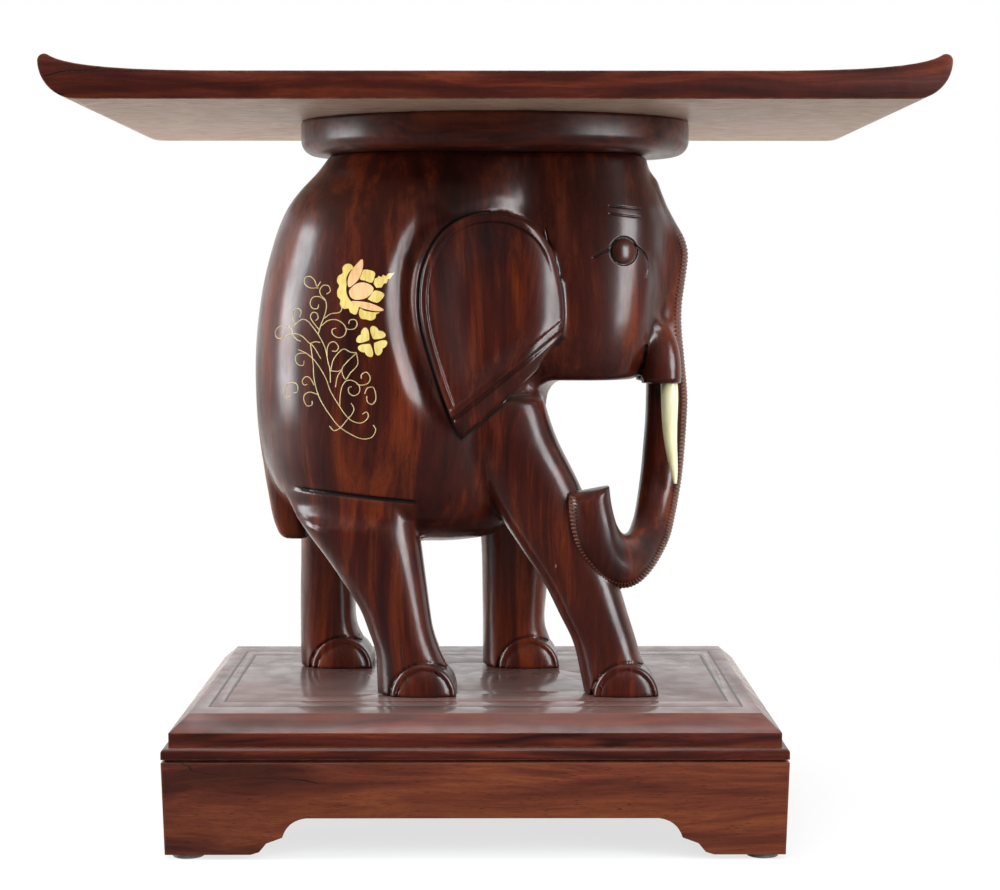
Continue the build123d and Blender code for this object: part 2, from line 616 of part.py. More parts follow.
def string(border, side, slack=0):
    """One strip of a border line, or with slack the groove that takes it."""
    wide = STRING_WIDTH / 2 + slack
    hx, hy = border
    low, high = sole_level - STRING_DEPTH - slack, sole_level + slack
    if side in ("front", "back"):
        y = -hy if side == "front" else hy
        strip = box((-hx - wide, y - wide, low), (hx + wide, y + wide, high))
    else:
        x = -hx if side == "left" else hx
        end = hy - STRING_WIDTH / 2 - INLAY_CLEARANCE + slack
        strip = box((x - wide, -end, low), (x + wide, end, high))
    return Pos(PLINTH_SHIFT, 0, 0) * strip


def plinth_board():
    """The board that the feet stand on, with a wide chamfer and grooves for the border lines."""
    shoulder = sole_level - BOARD_CHAMFER_DROP
    board = box((-board_half[0], -board_half[1], board_base), (*board_half, shoulder))
    board += loft([Pos(0, 0, shoulder) * Rectangle(2 * board_half[0], 2 * board_half[1]),
                   Pos(0, 0, sole_level) * Rectangle(2 * top_half[0], 2 * top_half[1])])
    board = Pos(PLINTH_SHIFT, 0, 0) * board
    for hole in foot_holes + cap_holes:
        board -= hole
    for border in (border_outer, border_inner):
        for side in SIDES:
            board -= string(border, side, INLAY_CLEARANCE)
    return board


def corner_block(sx, sy):
    """A three-cornered glue block inside one corner of the frame."""
    x, y = sx * (plinth_half[0] - APRON_THICKNESS), sy * (plinth_half[1] - APRON_THICKNESS)
    face = make_face(Polyline((x, y), (x - sx * BLOCK_LEG, y), (x, y - sy * BLOCK_LEG), close=True))
    return Pos(PLINTH_SHIFT, 0, cap_base - BLOCK_HEIGHT) * extrude(face, amount=BLOCK_HEIGHT, dir=(0, 0, 1))


def glide(sx, sy):
    """A felt pad under one corner."""
    x = PLINTH_SHIFT + sx * (plinth_half[0] - APRON_BATTER - GLIDE_INSET)
    y = sy * (plinth_half[1] - APRON_BATTER - GLIDE_INSET)
    return pin(GLIDE_DIAMETER, 0, GLIDE_THICKNESS, x, y)


# ------------------------------------------------------------------ assembly


def build():
    """Every piece by name."""
    pieces = {"seat_board": seat_board(), "saddle_disc": saddle_disc(), "plinth_board": plinth_board()}
    figure = elephant_blank()
    flank = stack(RUMP)
    for side, hand in ((RIGHT, "right"), (LEFT, "left")):
        figure -= eye_groove(side)
        figure -= tusk_socket(side)
        pieces["tusk_" + hand] = tusk(side)
        for name, petals in INLAY.items():
            for face in petals(INLAY_CLEARANCE):
                figure -= let_in(face, side)
            pieces[name + "_" + hand] = Compound([flank & let_in(face, side) for face in petals(0)])
    for hole in foot_holes + saddle_holes:
        figure -= hole
    pieces["elephant_carving"] = figure

    aprons, caps = apron_frame(), cap_frame()
    for side in SIDES:
        pieces["apron_" + side] = aprons & mitre(side)
        pieces["cap_" + side] = caps & mitre(side)
        pieces["border_outer_" + side] = string(border_outer, side)
        pieces["border_inner_" + side] = string(border_inner, side)
    for sx, x_name in ((-1, "left"), (1, "right")):
        for sy, y_name in ((-1, "front"), (1, "back")):
            pieces[f"corner_block_{y_name}_{x_name}"] = corner_block(sx, sy)
            pieces[f"glide_{y_name}_{x_name}"] = glide(sx, sy)

    pieces["foot_screws"] = Compound(screws(foot_screw_places, 0, *foot_screw_size))
    pieces["saddle_screws"] = Compound(screws(saddle_screw_places, 180, *saddle_screw_size))
    pieces["cap_screws"] = Compound(screws(cap_screw_places, 0, *cap_screw_size))
    pieces["seat_dowels"] = Compound(dowels)
    return pieces


os.makedirs("parts", exist_ok=True)
for name, shape in build().items():
    shape.label = name
    export_step(shape, "parts/" + name + ".step")
    print(name)
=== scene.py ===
import json
from math import cos, pi, radians, sin, sqrt

import bmesh
import bpy
import numpy as np
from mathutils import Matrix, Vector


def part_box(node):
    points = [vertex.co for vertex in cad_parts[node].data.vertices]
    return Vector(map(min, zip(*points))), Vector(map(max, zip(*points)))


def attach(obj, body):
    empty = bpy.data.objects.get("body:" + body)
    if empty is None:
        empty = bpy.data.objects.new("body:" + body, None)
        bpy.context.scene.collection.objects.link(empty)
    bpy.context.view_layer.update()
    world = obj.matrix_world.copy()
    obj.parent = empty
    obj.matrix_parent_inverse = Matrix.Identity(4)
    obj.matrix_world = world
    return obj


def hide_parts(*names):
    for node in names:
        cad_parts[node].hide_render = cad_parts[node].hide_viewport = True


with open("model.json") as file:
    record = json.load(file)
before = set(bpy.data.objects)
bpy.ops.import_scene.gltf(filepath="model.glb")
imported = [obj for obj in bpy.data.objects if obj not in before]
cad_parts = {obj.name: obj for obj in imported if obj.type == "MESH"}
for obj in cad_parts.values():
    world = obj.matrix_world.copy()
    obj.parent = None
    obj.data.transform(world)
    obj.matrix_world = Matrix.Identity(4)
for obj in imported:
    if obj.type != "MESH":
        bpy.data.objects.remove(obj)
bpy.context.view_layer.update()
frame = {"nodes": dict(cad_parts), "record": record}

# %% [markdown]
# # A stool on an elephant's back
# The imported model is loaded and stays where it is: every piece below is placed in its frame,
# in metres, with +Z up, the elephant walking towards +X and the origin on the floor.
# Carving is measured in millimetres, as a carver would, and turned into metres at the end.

import openvdb
from mathutils import Vector
from mathutils.geometry import delaunay_2d_cdt

MM = 0.001
RIGHT, LEFT = -1, 1
nodes = frame["nodes"]
scene = bpy.context.scene
print("nodes:", len(nodes))


def box_mm(name):
    """A node's lowest and highest corner in millimetres."""
    low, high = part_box(name)
    return np.array(low) / MM, np.array(high) / MM


sole_level = box_mm("elephant_carving")[0][2]
back_level = box_mm("elephant_carving")[1][2]
print("elephant from", round(sole_level, 1), "to", round(back_level, 1), "mm")

# %% [markdown]
# ## Camera
# A long lens below the seat, tilted a little down, keeps the board's ends nearly square.

# %% Camera
lens = bpy.data.cameras.new("camera")
lens.sensor_width = 36.0
lens.lens = 75.6
lens.clip_end = 20.0
camera = bpy.data.objects.new("camera", lens)
camera.location = Vector((-2.0, -1314.0, 320.0)) * MM
TILT, TURN = 3.95, -0.22    # degrees down from level, and away from straight ahead
camera.rotation_euler = (radians(90 - TILT), 0, radians(TURN))
scene.collection.objects.link(camera)
scene.camera = camera
print("camera at", tuple(round(v, 3) for v in camera.location))

# %% [markdown]
# ## Carving the elephant
# The real figure is one block, carved by hand until every form runs into the next.  A mesh
# of separate parts shows its joins, so the figure is described as a distance instead: a
# function that is negative inside the wood and positive outside.  Distances can be melted
# together with a soft edge, cut by planes and scored with grooves, which is close to what
# a gouge does.  A skin is then stretched over the place where the distance is zero.

# %% Smooth runs of numbers
def eased(z, heights, values):
    """A smooth curve through a few values, read at any height."""
    heights, values = np.asarray(heights, float), np.asarray(values, float)
    step = np.diff(heights)
    rise = np.diff(values) / step
    slope = np.empty_like(values)
    slope[1:-1] = (rise[:-1] * step[1:] + rise[1:] * step[:-1]) / (step[1:] + step[:-1])
    slope[0], slope[-1] = rise[0], rise[-1]
    z = np.clip(z, heights[0], heights[-1])
    i = np.clip(np.searchsorted(heights, z) - 1, 0, len(heights) - 2)
    t = (z - heights[i]) / step[i]
    return (values[i] * (1 + 2 * t) * (1 - t) ** 2 + values[i + 1] * t * t * (3 - 2 * t)
            + slope[i] * step[i] * t * (1 - t) ** 2 + slope[i + 1] * step[i] * t * t * (t - 1))


def bent_line(points, per_span=8, closed=False):
    """A smooth line through 2-D points, as many short steps."""
    p = np.asarray(points, float)
    if closed:
        p = np.vstack([p[-1], p, p[0], p[1]])
    else:
        p = np.vstack([2 * p[0] - p[1], p, 2 * p[-1] - p[-2]])
    t = np.linspace(0, 1, per_span, endpoint=False)[:, None]
    runs = [0.5 * (2 * b + (c - a) * t + (2 * a - 5 * b + 4 * c - d) * t ** 2
                   + (3 * b - a - 3 * c + d) * t ** 3)
            for a, b, c, d in zip(p, p[1:], p[2:], p[3:])]
    line = np.vstack(runs)
    return line if closed else np.vstack([line, p[-2]])


# %% Joining and cutting distances
def melt(a, b, soft):
    """The two forms as one, with a soft hollow where they meet."""
    h = np.clip(0.5 + 0.5 * (b - a) / soft, 0, 1)
    return b * (1 - h) + a * h - soft * h * (1 - h)


def trim(a, b, soft):
    """What the two forms share, with a soft edge."""
    return -melt(-a, -b, soft)


def ramp(x, low, high):
    """0 below low, 1 above high, smooth between."""
    t = np.clip((x - low) / (high - low), 0, 1)
    return t * t * (3 - 2 * t)


def stacked(x, y, z, levels, power, sawn=1.5):
    """Distance to a form given by level ovals: height, back, front, middle, half width.

    Its two ends are flat, with edges eased by about the given radius."""
    columns = np.array(levels, float).T
    back, front, middle, half = (eased(z, columns[0], c) for c in columns[1:])
    reach = (front - back) / 2
    u = np.abs(x - (front + back) / 2) / reach
    v = np.abs(y - middle) / half
    k = (u ** power + v ** power) ** (1 / power) + 1e-6
    steep = np.sqrt(((u / k) ** (power - 1) / reach) ** 2 + ((v / k) ** (power - 1) / half) ** 2)
    ends = np.maximum(columns[0][0] - z, z - columns[0][-1])
    return trim((k - 1) / np.maximum(steep, 1e-6), ends, sawn)


def to_line(x, z, line):
    """Distance to a run of short steps."""
    best = np.full(np.broadcast(x, z).shape, 1e9)
    for (ax, az), (bx, bz) in zip(line[:-1], line[1:]):
        dx, dz = bx - ax, bz - az
        length = sqrt(dx * dx + dz * dz)
        if length < 1e-9:
            continue
        t = np.clip(((x - ax) * dx + (z - az) * dz) / length ** 2, 0, 1)
        best = np.minimum(best, np.hypot(x - ax - t * dx, z - az - t * dz))
    return best


def inside(x, z, loop):
    """True inside a closed run of points."""
    hit = np.zeros(np.broadcast(x, z).shape, bool)
    for (ax, az), (bx, bz) in zip(loop, np.roll(loop, -1, axis=0)):
        if az == bz:
            continue
        hit ^= ((az > z) != (bz > z)) & (x < (bx - ax) * (z - az) / (bz - az) + ax)
    return hit


def to_loop(x, z, loop):
    """Distance to a closed outline, negative inside."""
    d = to_line(x, z, np.vstack([loop, loop[:1]]))
    return np.where(inside(x, z, loop), -d, d)


# %% [markdown]
# The level ovals below run from the soles up: height, back, front, middle and half width.
# The legs stand in a walking pose, so each has its own list.

# %% Body, head and legs
BODY = [
    (170.5, -64, -20, 0, 14), (173, -78, -6, 0, 28), (178, -97, 4, 0, 43),
    (186, -116, 12, 0, 55), (198, -132, 20, 0, 63), (214, -141, 26, 0, 67),
    (240, -147, 30, 0, 69.8), (269, -149, 33, 0, 70.8), (309, -147, 34, 0, 70.6),
    (349, -139, 36, 0, 67), (368, -132.6, 37, 0, 63.5), (378, -127.6, 38, 0, 61),
    (388, -120, 39, 0, 57.5), (398, -110.5, 40, 0, 53), (409, -102, 41, 0, 48),
]
HEAD = [
    (271.3, 13, 88, 0, 45.5), (277, 8, 92.5, 0, 48.5), (288, 2, 97.5, 0, 51.5),
    (304, -2, 101.5, 0, 53.5), (322, -5, 104, 0, 53.5), (340, -5, 105.5, 0, 52),
    (356, -4, 106, 0, 50), (373, 0, 104.8, 0, 47.5), (388, 0, 99.4, 0, 45), (409, 0, 93, 0, 42),
]
TAIL = [
    (170.5, -134.5, -116, 0, 8.5), (183, -139, -118, 0, 9.5), (198.5, -142, -120, 0, 10),
    (214, -144.5, -122, 0, 10), (229, -146.5, -124, 0, 9), (249, -148, -126, 0, 7),
    (270, -147, -128, 0, 5),
]
RIGHT_HIND_LEG = [
    (82.5, -71.4, -26, 49.5, 19.5), (95, -71.8, -27.5, 49.3, 19.8), (107, -72.5, -33, 48.8, 19.5),
    (120, -76.8, -37.6, 47.5, 19.8), (133, -82, -39.8, 46, 20.8), (148, -91.5, -41.8, 44.5, 22.2),
    (164, -102.5, -44, 42.5, 24.2), (184, -117.5, -46.6, 39.5, 27), (199, -127, -48.2, 37.5, 29.5),
    (224, -138, -50, 34, 32),
]
RIGHT_FORE_LEG = [
    (82.5, 54, 93, 49.5, 19.5), (95, 51.5, 92, 49.3, 19.8), (107, 49, 87.5, 49, 19.5),
    (114, 46.8, 85.5, 48.5, 19.5), (130, 39, 80.5, 47.5, 20.3), (148, 30, 75, 46.3, 21.3),
    (170, 15.5, 67, 44.8, 22.3), (191.5, 1.6, 58.5, 43.5, 23.3), (213, -9.5, 49, 42, 24.5),
    (235, -20.7, 38, 40, 25), (268, -28, 27, 36, 24),
]
LEFT_HIND_LEG = [
    (82.5, -126.6, -82, 49.5, 19.5), (95, -126.8, -84, 49.3, 19.8), (107, -126.8, -89.5, 48.8, 19.5),
    (130, -126.6, -91, 47.5, 19.8), (164, -125.8, -90, 45, 22), (190, -126, -80, 41, 26.5),
    (222, -128, -66, 36, 30),
]
LEFT_FORE_LEG = [
    (82.5, -8, 38, 49.5, 19.5), (95, -8, 37, 49.3, 19.8), (107, -8, 33, 48.8, 19.5),
    (130, -8.2, 33.5, 47, 20), (164, -9, 38, 45, 21.8), (200, -13, 39.5, 42, 24.5),
    (235, -18, 34, 39, 25), (268, -22, 27, 36, 24),
]
SHEATH = [
    (269, 89.4, 114.4, 24, 11.5), (285, 90.5, 113.8, 22.5, 11), (296, 93, 111.5, 19.5, 9.5),
    (304, 97, 108, 17, 6),
]

# %% [markdown]
# The trunk hangs in the middle plane and then swings across, so that its tip rests against the
# right foreleg.  Its front and back are drawn from the side, as (forward, height), and a middle
# line says how far each stretch has swung, as (forward, to the left, height).

# %% The trunk
TRUNK_FRONT = [
    (98, 391), (101, 383.5), (104.2, 376.2), (110, 368.8), (116, 361.3), (119, 354), (119.9, 346.4),
    (118.5, 334), (116.3, 317), (116.3, 301.6), (118.2, 282), (120, 262), (119.9, 249),
    (118.6, 228), (117, 212), (115, 200.5), (112, 187.5), (107.5, 173.5), (99, 160), (90.5, 151),
    (83.5, 147), (77.5, 146), (71, 147), (62.5, 151.5), (54.2, 160.5), (47.3, 171), (44, 183),
    (43, 195.5), (43.6, 204.6),
]
TRUNK_BACK = [
    (68.3, 209), (69.3, 200.5), (71, 192), (73.5, 184.5), (77, 179), (80.5, 178), (83.5, 181.5),
    (86.5, 188), (89.3, 200), (91.5, 214), (93, 230), (94.3, 250), (94.4, 275), (93, 305),
    (89, 345), (88, 372),
]
TRUNK_MIDDLE = [
    (91.8, 0, 384.5), (102.3, 0, 357.5), (104.7, 0, 342), (105, 0, 308.5), (107.3, 0, 259.5),
    (105.4, 0, 226.5), (101.8, -5, 200.5), (96.5, -19, 181), (88.3, -37, 167), (77.8, -50, 161.5),
    (67.5, -55, 167), (59.8, -57, 179), (56.7, -58, 194.5), (56.0, -58.5, 206.5),
]
TRUNK_HALF = 14.5       # half its width
TRUNK_CROWN = 5.5       # its front edge falls back this much towards the sides
TRUNK_HEEL = 2.6        # and its back edge this much
TRUNK_ROUND = 2.2       # the power of that curve
TRUNK_SWELL = 5.5       # its cheeks stand out this much in the middle
SWING_REACH = 11        # the swing is evened out over about this distance

trunk_front = bent_line(TRUNK_FRONT)
trunk_back = bent_line(TRUNK_BACK)
trunk_loop = np.vstack([trunk_front, trunk_back])
trunk_middle = bent_line(TRUNK_MIDDLE)
print("trunk runs", round(np.linalg.norm(np.diff(trunk_middle, axis=0), axis=1).sum()), "mm down its middle")


def swing_at(x, z):
    """How far the trunk has swung to the left beside a point of the side view."""
    pull = swing = 0.0
    for mx, my, mz in trunk_middle[::3]:
        near = np.exp(-np.minimum(np.hypot(x - mx, z - mz) / SWING_REACH, 9) ** 2)
        pull, swing = pull + near, swing + near * my
    return swing / pull


def trunk(x, y, z):
    """Rounded along its front, flatter along its back, with gently swelling cheeks."""
    profile = to_loop(x, z, trunk_loop)
    to_front = to_line(x, z, trunk_front)
    to_back = to_line(x, z, trunk_back)
    share = to_back / (to_front + to_back + 1e-6)
    across = np.abs(y - swing_at(x, z))
    lean = ramp(share, 0.25, 0.75)
    rounding = TRUNK_CROWN * lean + TRUNK_HEEL * (1 - lean)
    rounding = rounding * np.minimum(across / TRUNK_HALF, 1.2) ** TRUNK_ROUND
    cheeks = across - TRUNK_HALF + TRUNK_SWELL * (2 * share - 1) ** 2
    return trim(profile + rounding, cheeks, 4.5)


# %% [markdown]
# Each ear is a slab sawn to an outline, sunk inside its rim, with its lower edge folded out.

# %% The ears
EAR_REAR = [
    (-20.3, 237.5), (-28, 255), (-36.2, 279), (-42.6, 303), (-44.4, 322), (-41.5, 341),
    (-33, 357.5), (-20, 367.5), (-4.5, 371.2), (11, 369.5), (24, 362.5), (33.5, 350),
    (39, 331), (41, 312), (39.8, 299),
]
EAR_LOW = [(24, 277.5), (2, 257)]
EAR_FOLD = ((-23.2, 252.0), (37.4, 300.8))
EAR_ROOT = 44           # the slab starts this far inside the neck
EAR_OUT = 76.0          # the rear of the ear, out from the middle plane
EAR_TURN = 0.07         # it draws in by this share of the way forward
EAR_FRONT_FALL = 11.5   # and its front edge falls away to the cheek
RIM_STEP = 2.0          # the face is sunk this much inside the rim
RIM_WIDTH = 4.2
EAR_DISH = 3.4          # and hollowed this much more in the middle
LIP = 1.0               # a raised line above the fold
FOLD_GROOVE = 2.6       # a cut just under it
FLAP_SLOPE = 0.40       # how steeply the flap below falls away
ear_loop = np.vstack([bent_line(EAR_REAR), EAR_LOW])


def fold_height(x, z):
    """Distance above the fold line of the ear, negative on the flap below it."""
    (ax, az), (bx, bz) = EAR_FOLD
    return ((z - az) * (bx - ax) - (x - ax) * (bz - az)) / sqrt((bx - ax) ** 2 + (bz - az) ** 2)


def beside_ear(x, z):
    """True near the ears, seen from the side."""
    return (np.abs(x) < 66) & (z > 225)


def to_ear_edge(x, z):
    """Distance to the ear's outline, negative on the ear."""
    return to_loop(x, z, ear_loop)


def ear_face(x, z, edge):
    """How far out the ear's surface lies; edge is the distance in from its outline."""
    out = EAR_OUT - EAR_TURN * (x + 44) - EAR_FRONT_FALL * ramp(x, 16, 48)
    above = fold_height(x, z)
    rim = 1 - ramp(x, 20, 36)
    width = RIM_WIDTH + 1.1 * ramp(z, 335, 365)
    step = RIM_STEP * ramp(edge - width, -0.35, 0.35) * rim
    dish = EAR_DISH * ramp(edge, 4, 30) * (1 - 0.8 * ramp(x, 8, 30))
    rounded = 1.1 * np.clip(1 - edge / 3.2, 0, 1) ** 2
    sunk = (step + dish) * ramp(above, 0.5, 14)
    lip = LIP * ramp(-above, -4.6, -3.9) * ramp(above, -0.5, 0.3)
    groove = FOLD_GROOVE * ramp(-above, 0.0, 0.8) * (1 - 0.55 * ramp(-above, 1.2, 3.4))
    flap = FLAP_SLOPE * np.maximum(-above, 0)
    return out - sunk - rounded + lip - groove - flap


def ear(x, a, z, edge):
    """A slab that stands out from the neck; edge is the distance outside its outline."""
    face = trim(edge, (a - ear_face(x, z, -edge)) * 0.93, 1.6)
    return np.maximum(face, EAR_ROOT - a)


# %% [markdown]
# A wide shallow gouge runs behind the ear and rises again to its rim, where a narrow cut draws
# a line round it, which is painted dark with dirt and painted shade.  The eye, its corners and
# the wrinkles over it are scored with a V-tool: each stroke is a line seen from the side, with a
# width and a depth.

# %% Cuts
GOUGE_BEHIND = (7.0, 25.0)      # depth and width behind the ear
GOUGE_BEFORE = (1.2, 9.0)       # and over and before it
LINE_DEPTH = (2.4, 0.7)         # the cut round the rim: behind the ear, and before it
LINE_WIDTH = 2.8


def trench(x, z, away):
    """How far the flank falls away beside the ear."""
    behind = ramp(-x, -20, 20) * (1 - ramp(z, 330, 366) * ramp(x, -48, -25))
    depth, width = (b * behind + f * (1 - behind) for b, f in zip(GOUGE_BEHIND, GOUGE_BEFORE))
    u = np.clip(away / width, 0, 1)
    return depth * np.sin(pi * u ** 0.7) ** 2 * ramp(z, 236, 272)


def ear_line(x, z, away):
    """The narrow cut that draws the ear's rim on neck and cheek."""
    behind, before = LINE_DEPTH
    depth = behind - (behind - before) * ramp(x, -10, 14)
    return depth * (1 - ramp(away, 0.0, LINE_WIDTH)) * ramp(z, 240, 262)


EYE = (77.3, 349.4)
EYE_RADIUS = 8.0
EYE_RING = 1.0          # depth of the ring
EYE_BALL = 1.5          # and swell of the ball inside it
STROKES = [
    ([(69, 349.4), (65.5, 349), (61.8, 347.2), (58.8, 345.3)], 1.7, 0.9),
    ([(72.3, 355.4), (69.9, 352.4), (66.7, 350.2), (62.3, 347.8)], 1.5, 0.7),
    ([(84, 353), (88.2, 349.8), (91.1, 346.4), (92.5, 343.6)], 1.8, 1.0),
    ([(93.1, 343), (92.4, 339), (91, 333.8)], 1.3, 0.5),
    ([(68.8, 376.4), (77.3, 375.7), (87.4, 374.9)], 1.3, 0.7),
    ([(68.8, 371.7), (77.3, 370.8), (87, 370)], 1.3, 0.6),
    ([(30.3, 362.2), (31.3, 357), (33.1, 351.8)], 1.2, 0.6),
    ([(92.2, 292), (91.2, 284), (90.4, 278)], 2.4, 1.2),
    ([(95.5, 345), (98, 333), (97, 318), (94.5, 305)], 12.0, 0.8),
]
strokes = [(bent_line(points, 4), width, depth) for points, width, depth in STROKES]


def on_head(x, z):
    """True in the part of the side view where most strokes lie."""
    return (x > 26) & (z > 266)


def scored(x, z, widest=99.0):
    """Depth of the strokes at a point of the side view."""
    cut = 0.0
    for line, width, depth in strokes:
        if width < widest:
            away = to_line(x, z, line)
            cut = np.maximum(cut, depth * (1 - ramp(away, 0.1 * width, 0.55 * width)))
    return cut


def eye(x, z):
    """Depth of the ring round the eye, less the swell of the ball inside it."""
    r = np.hypot(x - EYE[0], z - EYE[1])
    ring = EYE_RING * (1 - ramp(np.abs(r - EYE_RADIUS), 0.2, 0.95))
    ball = EYE_BALL * np.clip(1 - (r / (EYE_RADIUS - 0.5)) ** 2, 0, 1)
    return ring - ball


# %% [markdown]
# The toe is a short drum across the front of the foot: a band round a domed nail.  The hind
# legs start under a scored line and lie almost flush with the flank there.

# %% Feet and legs
TOE_RADIUS = 19.6
NAIL_RADIUS = 16.6
FOOT_MIDDLE = 49.5
NAIL_OUT, NAIL_DOME = 17.4, 5.2     # the nail's half width at its rim, and its dome
BAND_OUT = 19.9                     # half width of the band round it
TOE_CUT = 1.3
RIGHT_HIND_TOE, RIGHT_FORE_TOE, LEFT_HIND_TOE, LEFT_FORE_TOE = -23.5, 98.0, -79.5, 41.5
FEET = [(RIGHT_HIND_TOE, RIGHT), (RIGHT_FORE_TOE, RIGHT), (LEFT_HIND_TOE, LEFT), (LEFT_FORE_TOE, LEFT)]
CREASE_RIGHT = ((-119, 206), (-47, 198.5))
CREASE_LEFT = ((-128, 208), (-64, 200))
CREASE_DEPTH = 1.5


def from_toe(x, z, front):
    """Distance from the axis of a toe."""
    return np.hypot(x - (front - TOE_RADIUS), z - sole_level)


def round_toe(x, z, front, near, far):
    """1 on the arc cut round a toe, 0 away from it."""
    return 1 - ramp(np.abs(from_toe(x, z, front) - TOE_RADIUS - 0.5), near, far)


def toe(x, y, z, front):
    """The drum, its nail domed at both ends."""
    r = from_toe(x, z, front)
    nail = NAIL_OUT + NAIL_DOME * np.sqrt(np.clip(1 - (r / NAIL_RADIUS) ** 2, 0, 1))
    band = BAND_OUT - 0.5 * ramp(r, NAIL_RADIUS, TOE_RADIUS)
    reach = np.where(r < NAIL_RADIUS, nail, band)
    return trim(r - TOE_RADIUS, np.abs(y - FOOT_MIDDLE) - reach, 2.4)


def leg(x, y, z, levels, side, front):
    """One leg with its toe, and the arc that is cut round the toe."""
    shank = stacked(x, side * y, z, levels, 2.7)
    shank = shank + TOE_CUT * round_toe(x, z, front, 0.2, 1.3)
    return np.minimum(shank, toe(x, side * y, z, front))


def crease_height(x, z, line):
    """Height above the scored line at the top of a hind leg."""
    (ax, az), (bx, bz) = line
    return z - (az + (x - ax) * (bz - az) / (bx - ax))


def hind_leg(x, y, z, levels, side, front, crease, flank):
    """A hind leg, cut off at the crease and held close to the flank just under it."""
    above = crease_height(x, z, crease)
    whole = leg(x, y, z, levels, side, front)
    below = np.maximum(-above, 0)
    held = flank - 0.7 - 0.34 * below - (below / 9.0) ** 3.4
    return trim(trim(whole, held, 3), above, 1.6)


def crease_cut(x, y, z, line, side):
    """Depth of the stroke over a hind leg."""
    (ax, _), (bx, _) = line
    ends = ramp(x, ax - 2, ax + 8) * (1 - ramp(x, bx - 4, bx + 2))
    stroke = 1 - ramp(np.abs(crease_height(x, z, line) - 0.6), 0.2, 1.9)
    return CREASE_DEPTH * stroke * ends * ramp(side * y, 25, 36)


def creases(x, y, z):
    """Depth of the strokes over both hind legs."""
    return crease_cut(x, y, z, CREASE_RIGHT, RIGHT) + crease_cut(x, y, z, CREASE_LEFT, LEFT)


# %% The whole figure
FAR = 40.0
BODY_POWER = 2.35       # of the ovals: 2 is an ellipse
NECK_MELT = 14          # how softly the head runs into the body
SHOULDER = 262          # the forelegs end at this height


def only_near(near, form, *places):
    """Work a form out at the scattered points near it, and call the others far away."""
    if np.ndim(places[0]) != 1:
        return form(*places)
    d = np.full(len(places[0]), FAR)
    if near.any():
        d[near] = form(*(p[near] for p in places))
    return d


def cuts(x, z):
    """Strokes and eye together."""
    return scored(x, z) + eye(x, z)


def elephant(x, y, z):
    """Distance to the whole carving."""
    a = np.abs(y)
    near_ear = beside_ear(x, z)
    to_ear = only_near(near_ear, to_ear_edge, x, z)
    cut = only_near(on_head(x, z) & (a > 15), cuts, x, z)
    cut = np.where(cut >= FAR, 0, cut) * ramp(a, 16, 24)
    flank = stacked(x, a, z, BODY, BODY_POWER)
    head = stacked(x, a, z, HEAD, BODY_POWER, 3.5)
    d = melt(flank + trench(x, z, to_ear) * 0.9, head, NECK_MELT) + cut + ear_line(x, z, to_ear) * 0.9
    d = melt(d, stacked(x, a, z, SHEATH, 2.4) + cut, 3 + 8 * ramp(z, 282, 302))
    hind = hind_leg(x, y, z, RIGHT_HIND_LEG, RIGHT, RIGHT_HIND_TOE, CREASE_RIGHT, flank)
    far_hind = hind_leg(x, y, z, LEFT_HIND_LEG, LEFT, LEFT_HIND_TOE, CREASE_LEFT, flank)
    fore = trim(leg(x, y, z, RIGHT_FORE_LEG, RIGHT, RIGHT_FORE_TOE), z - SHOULDER, 6)
    far_fore = trim(leg(x, y, z, LEFT_FORE_LEG, LEFT, LEFT_FORE_TOE), z - SHOULDER, 6)
    d = melt(d, np.minimum(hind, far_hind), 1.2)
    d = melt(d, np.minimum(fore, far_fore), 4)
    trunk_melt = 1.2 + 5 * ramp(z, 250, 300) + 8 * ramp(z, 296, 336)
    d = melt(d, only_near(x > 36, trunk, x, y, z), trunk_melt)
    d = melt(d, stacked(x, a, z, TAIL, 3.0, 6), 3)
    d = melt(d, only_near(near_ear & (a > 38), ear, x, a, z, to_ear), 1.0)
    d = d + creases(x, y, z)
    return np.maximum(np.maximum(d, sole_level - z), z - back_level)


# %% A skin over the carving
def skin(distance, low, high, step):
    """Points and four-sided faces where a distance is zero, on a grid of the given step."""
    xs, ys, zs = (np.arange(a, b + step, step) for a, b in zip(low, high))
    field = distance(xs[:, None, None], ys[None, :, None], zs[None, None, :])
    grid = openvdb.FloatGrid()
    grid.background = 100.0
    grid.copyFromArray(np.clip(field, -3 * step, 3 * step).astype(np.float32))
    points, triangles, quads = grid.convertToPolygons(isovalue=0.0, adaptivity=0.0)
    return points * step + np.asarray(low), [tuple(f) for f in quads] + [tuple(f) for f in triangles]


def downhill(distance, p, eps=0.05):
    """Which way the distance grows, per millimetre."""
    g = np.empty_like(p)
    for i in range(3):
        d = np.zeros(3)
        d[i] = eps
        g[:, i] = (distance(*(p + d).T) - distance(*(p - d).T)) / (2 * eps)
    return g


def settle(distance, p, rounds=3, limit=1.2):
    """Slide points onto the surface."""
    p = p.copy()
    for _ in range(rounds):
        d = distance(*p.T)
        g = downhill(distance, p)
        move = -d[:, None] * g / np.maximum((g ** 2).sum(1), 0.05)[:, None]
        size = np.linalg.norm(move, axis=1, keepdims=True)
        p += move * np.minimum(1, limit / np.maximum(size, 1e-9))
    return p


def as_mesh(name, points, faces, smooth=True):
    """A new object from points in millimetres."""
    mesh = bpy.data.meshes.new(name)
    mesh.from_pydata([tuple(p) for p in np.asarray(points) * MM], [], faces)
    mesh.validate()
    if smooth:
        mesh.shade_smooth()
    thing = bpy.data.objects.new(name, mesh)
    scene.collection.objects.link(thing)
    return thing


# %% [markdown]
# One grid fine enough for the eye would make millions of faces.  So the skin is coarse at
# first, and its faces are halved again and again only beside an edge, a stroke or a nail,
# each time followed by a settling onto the surface.

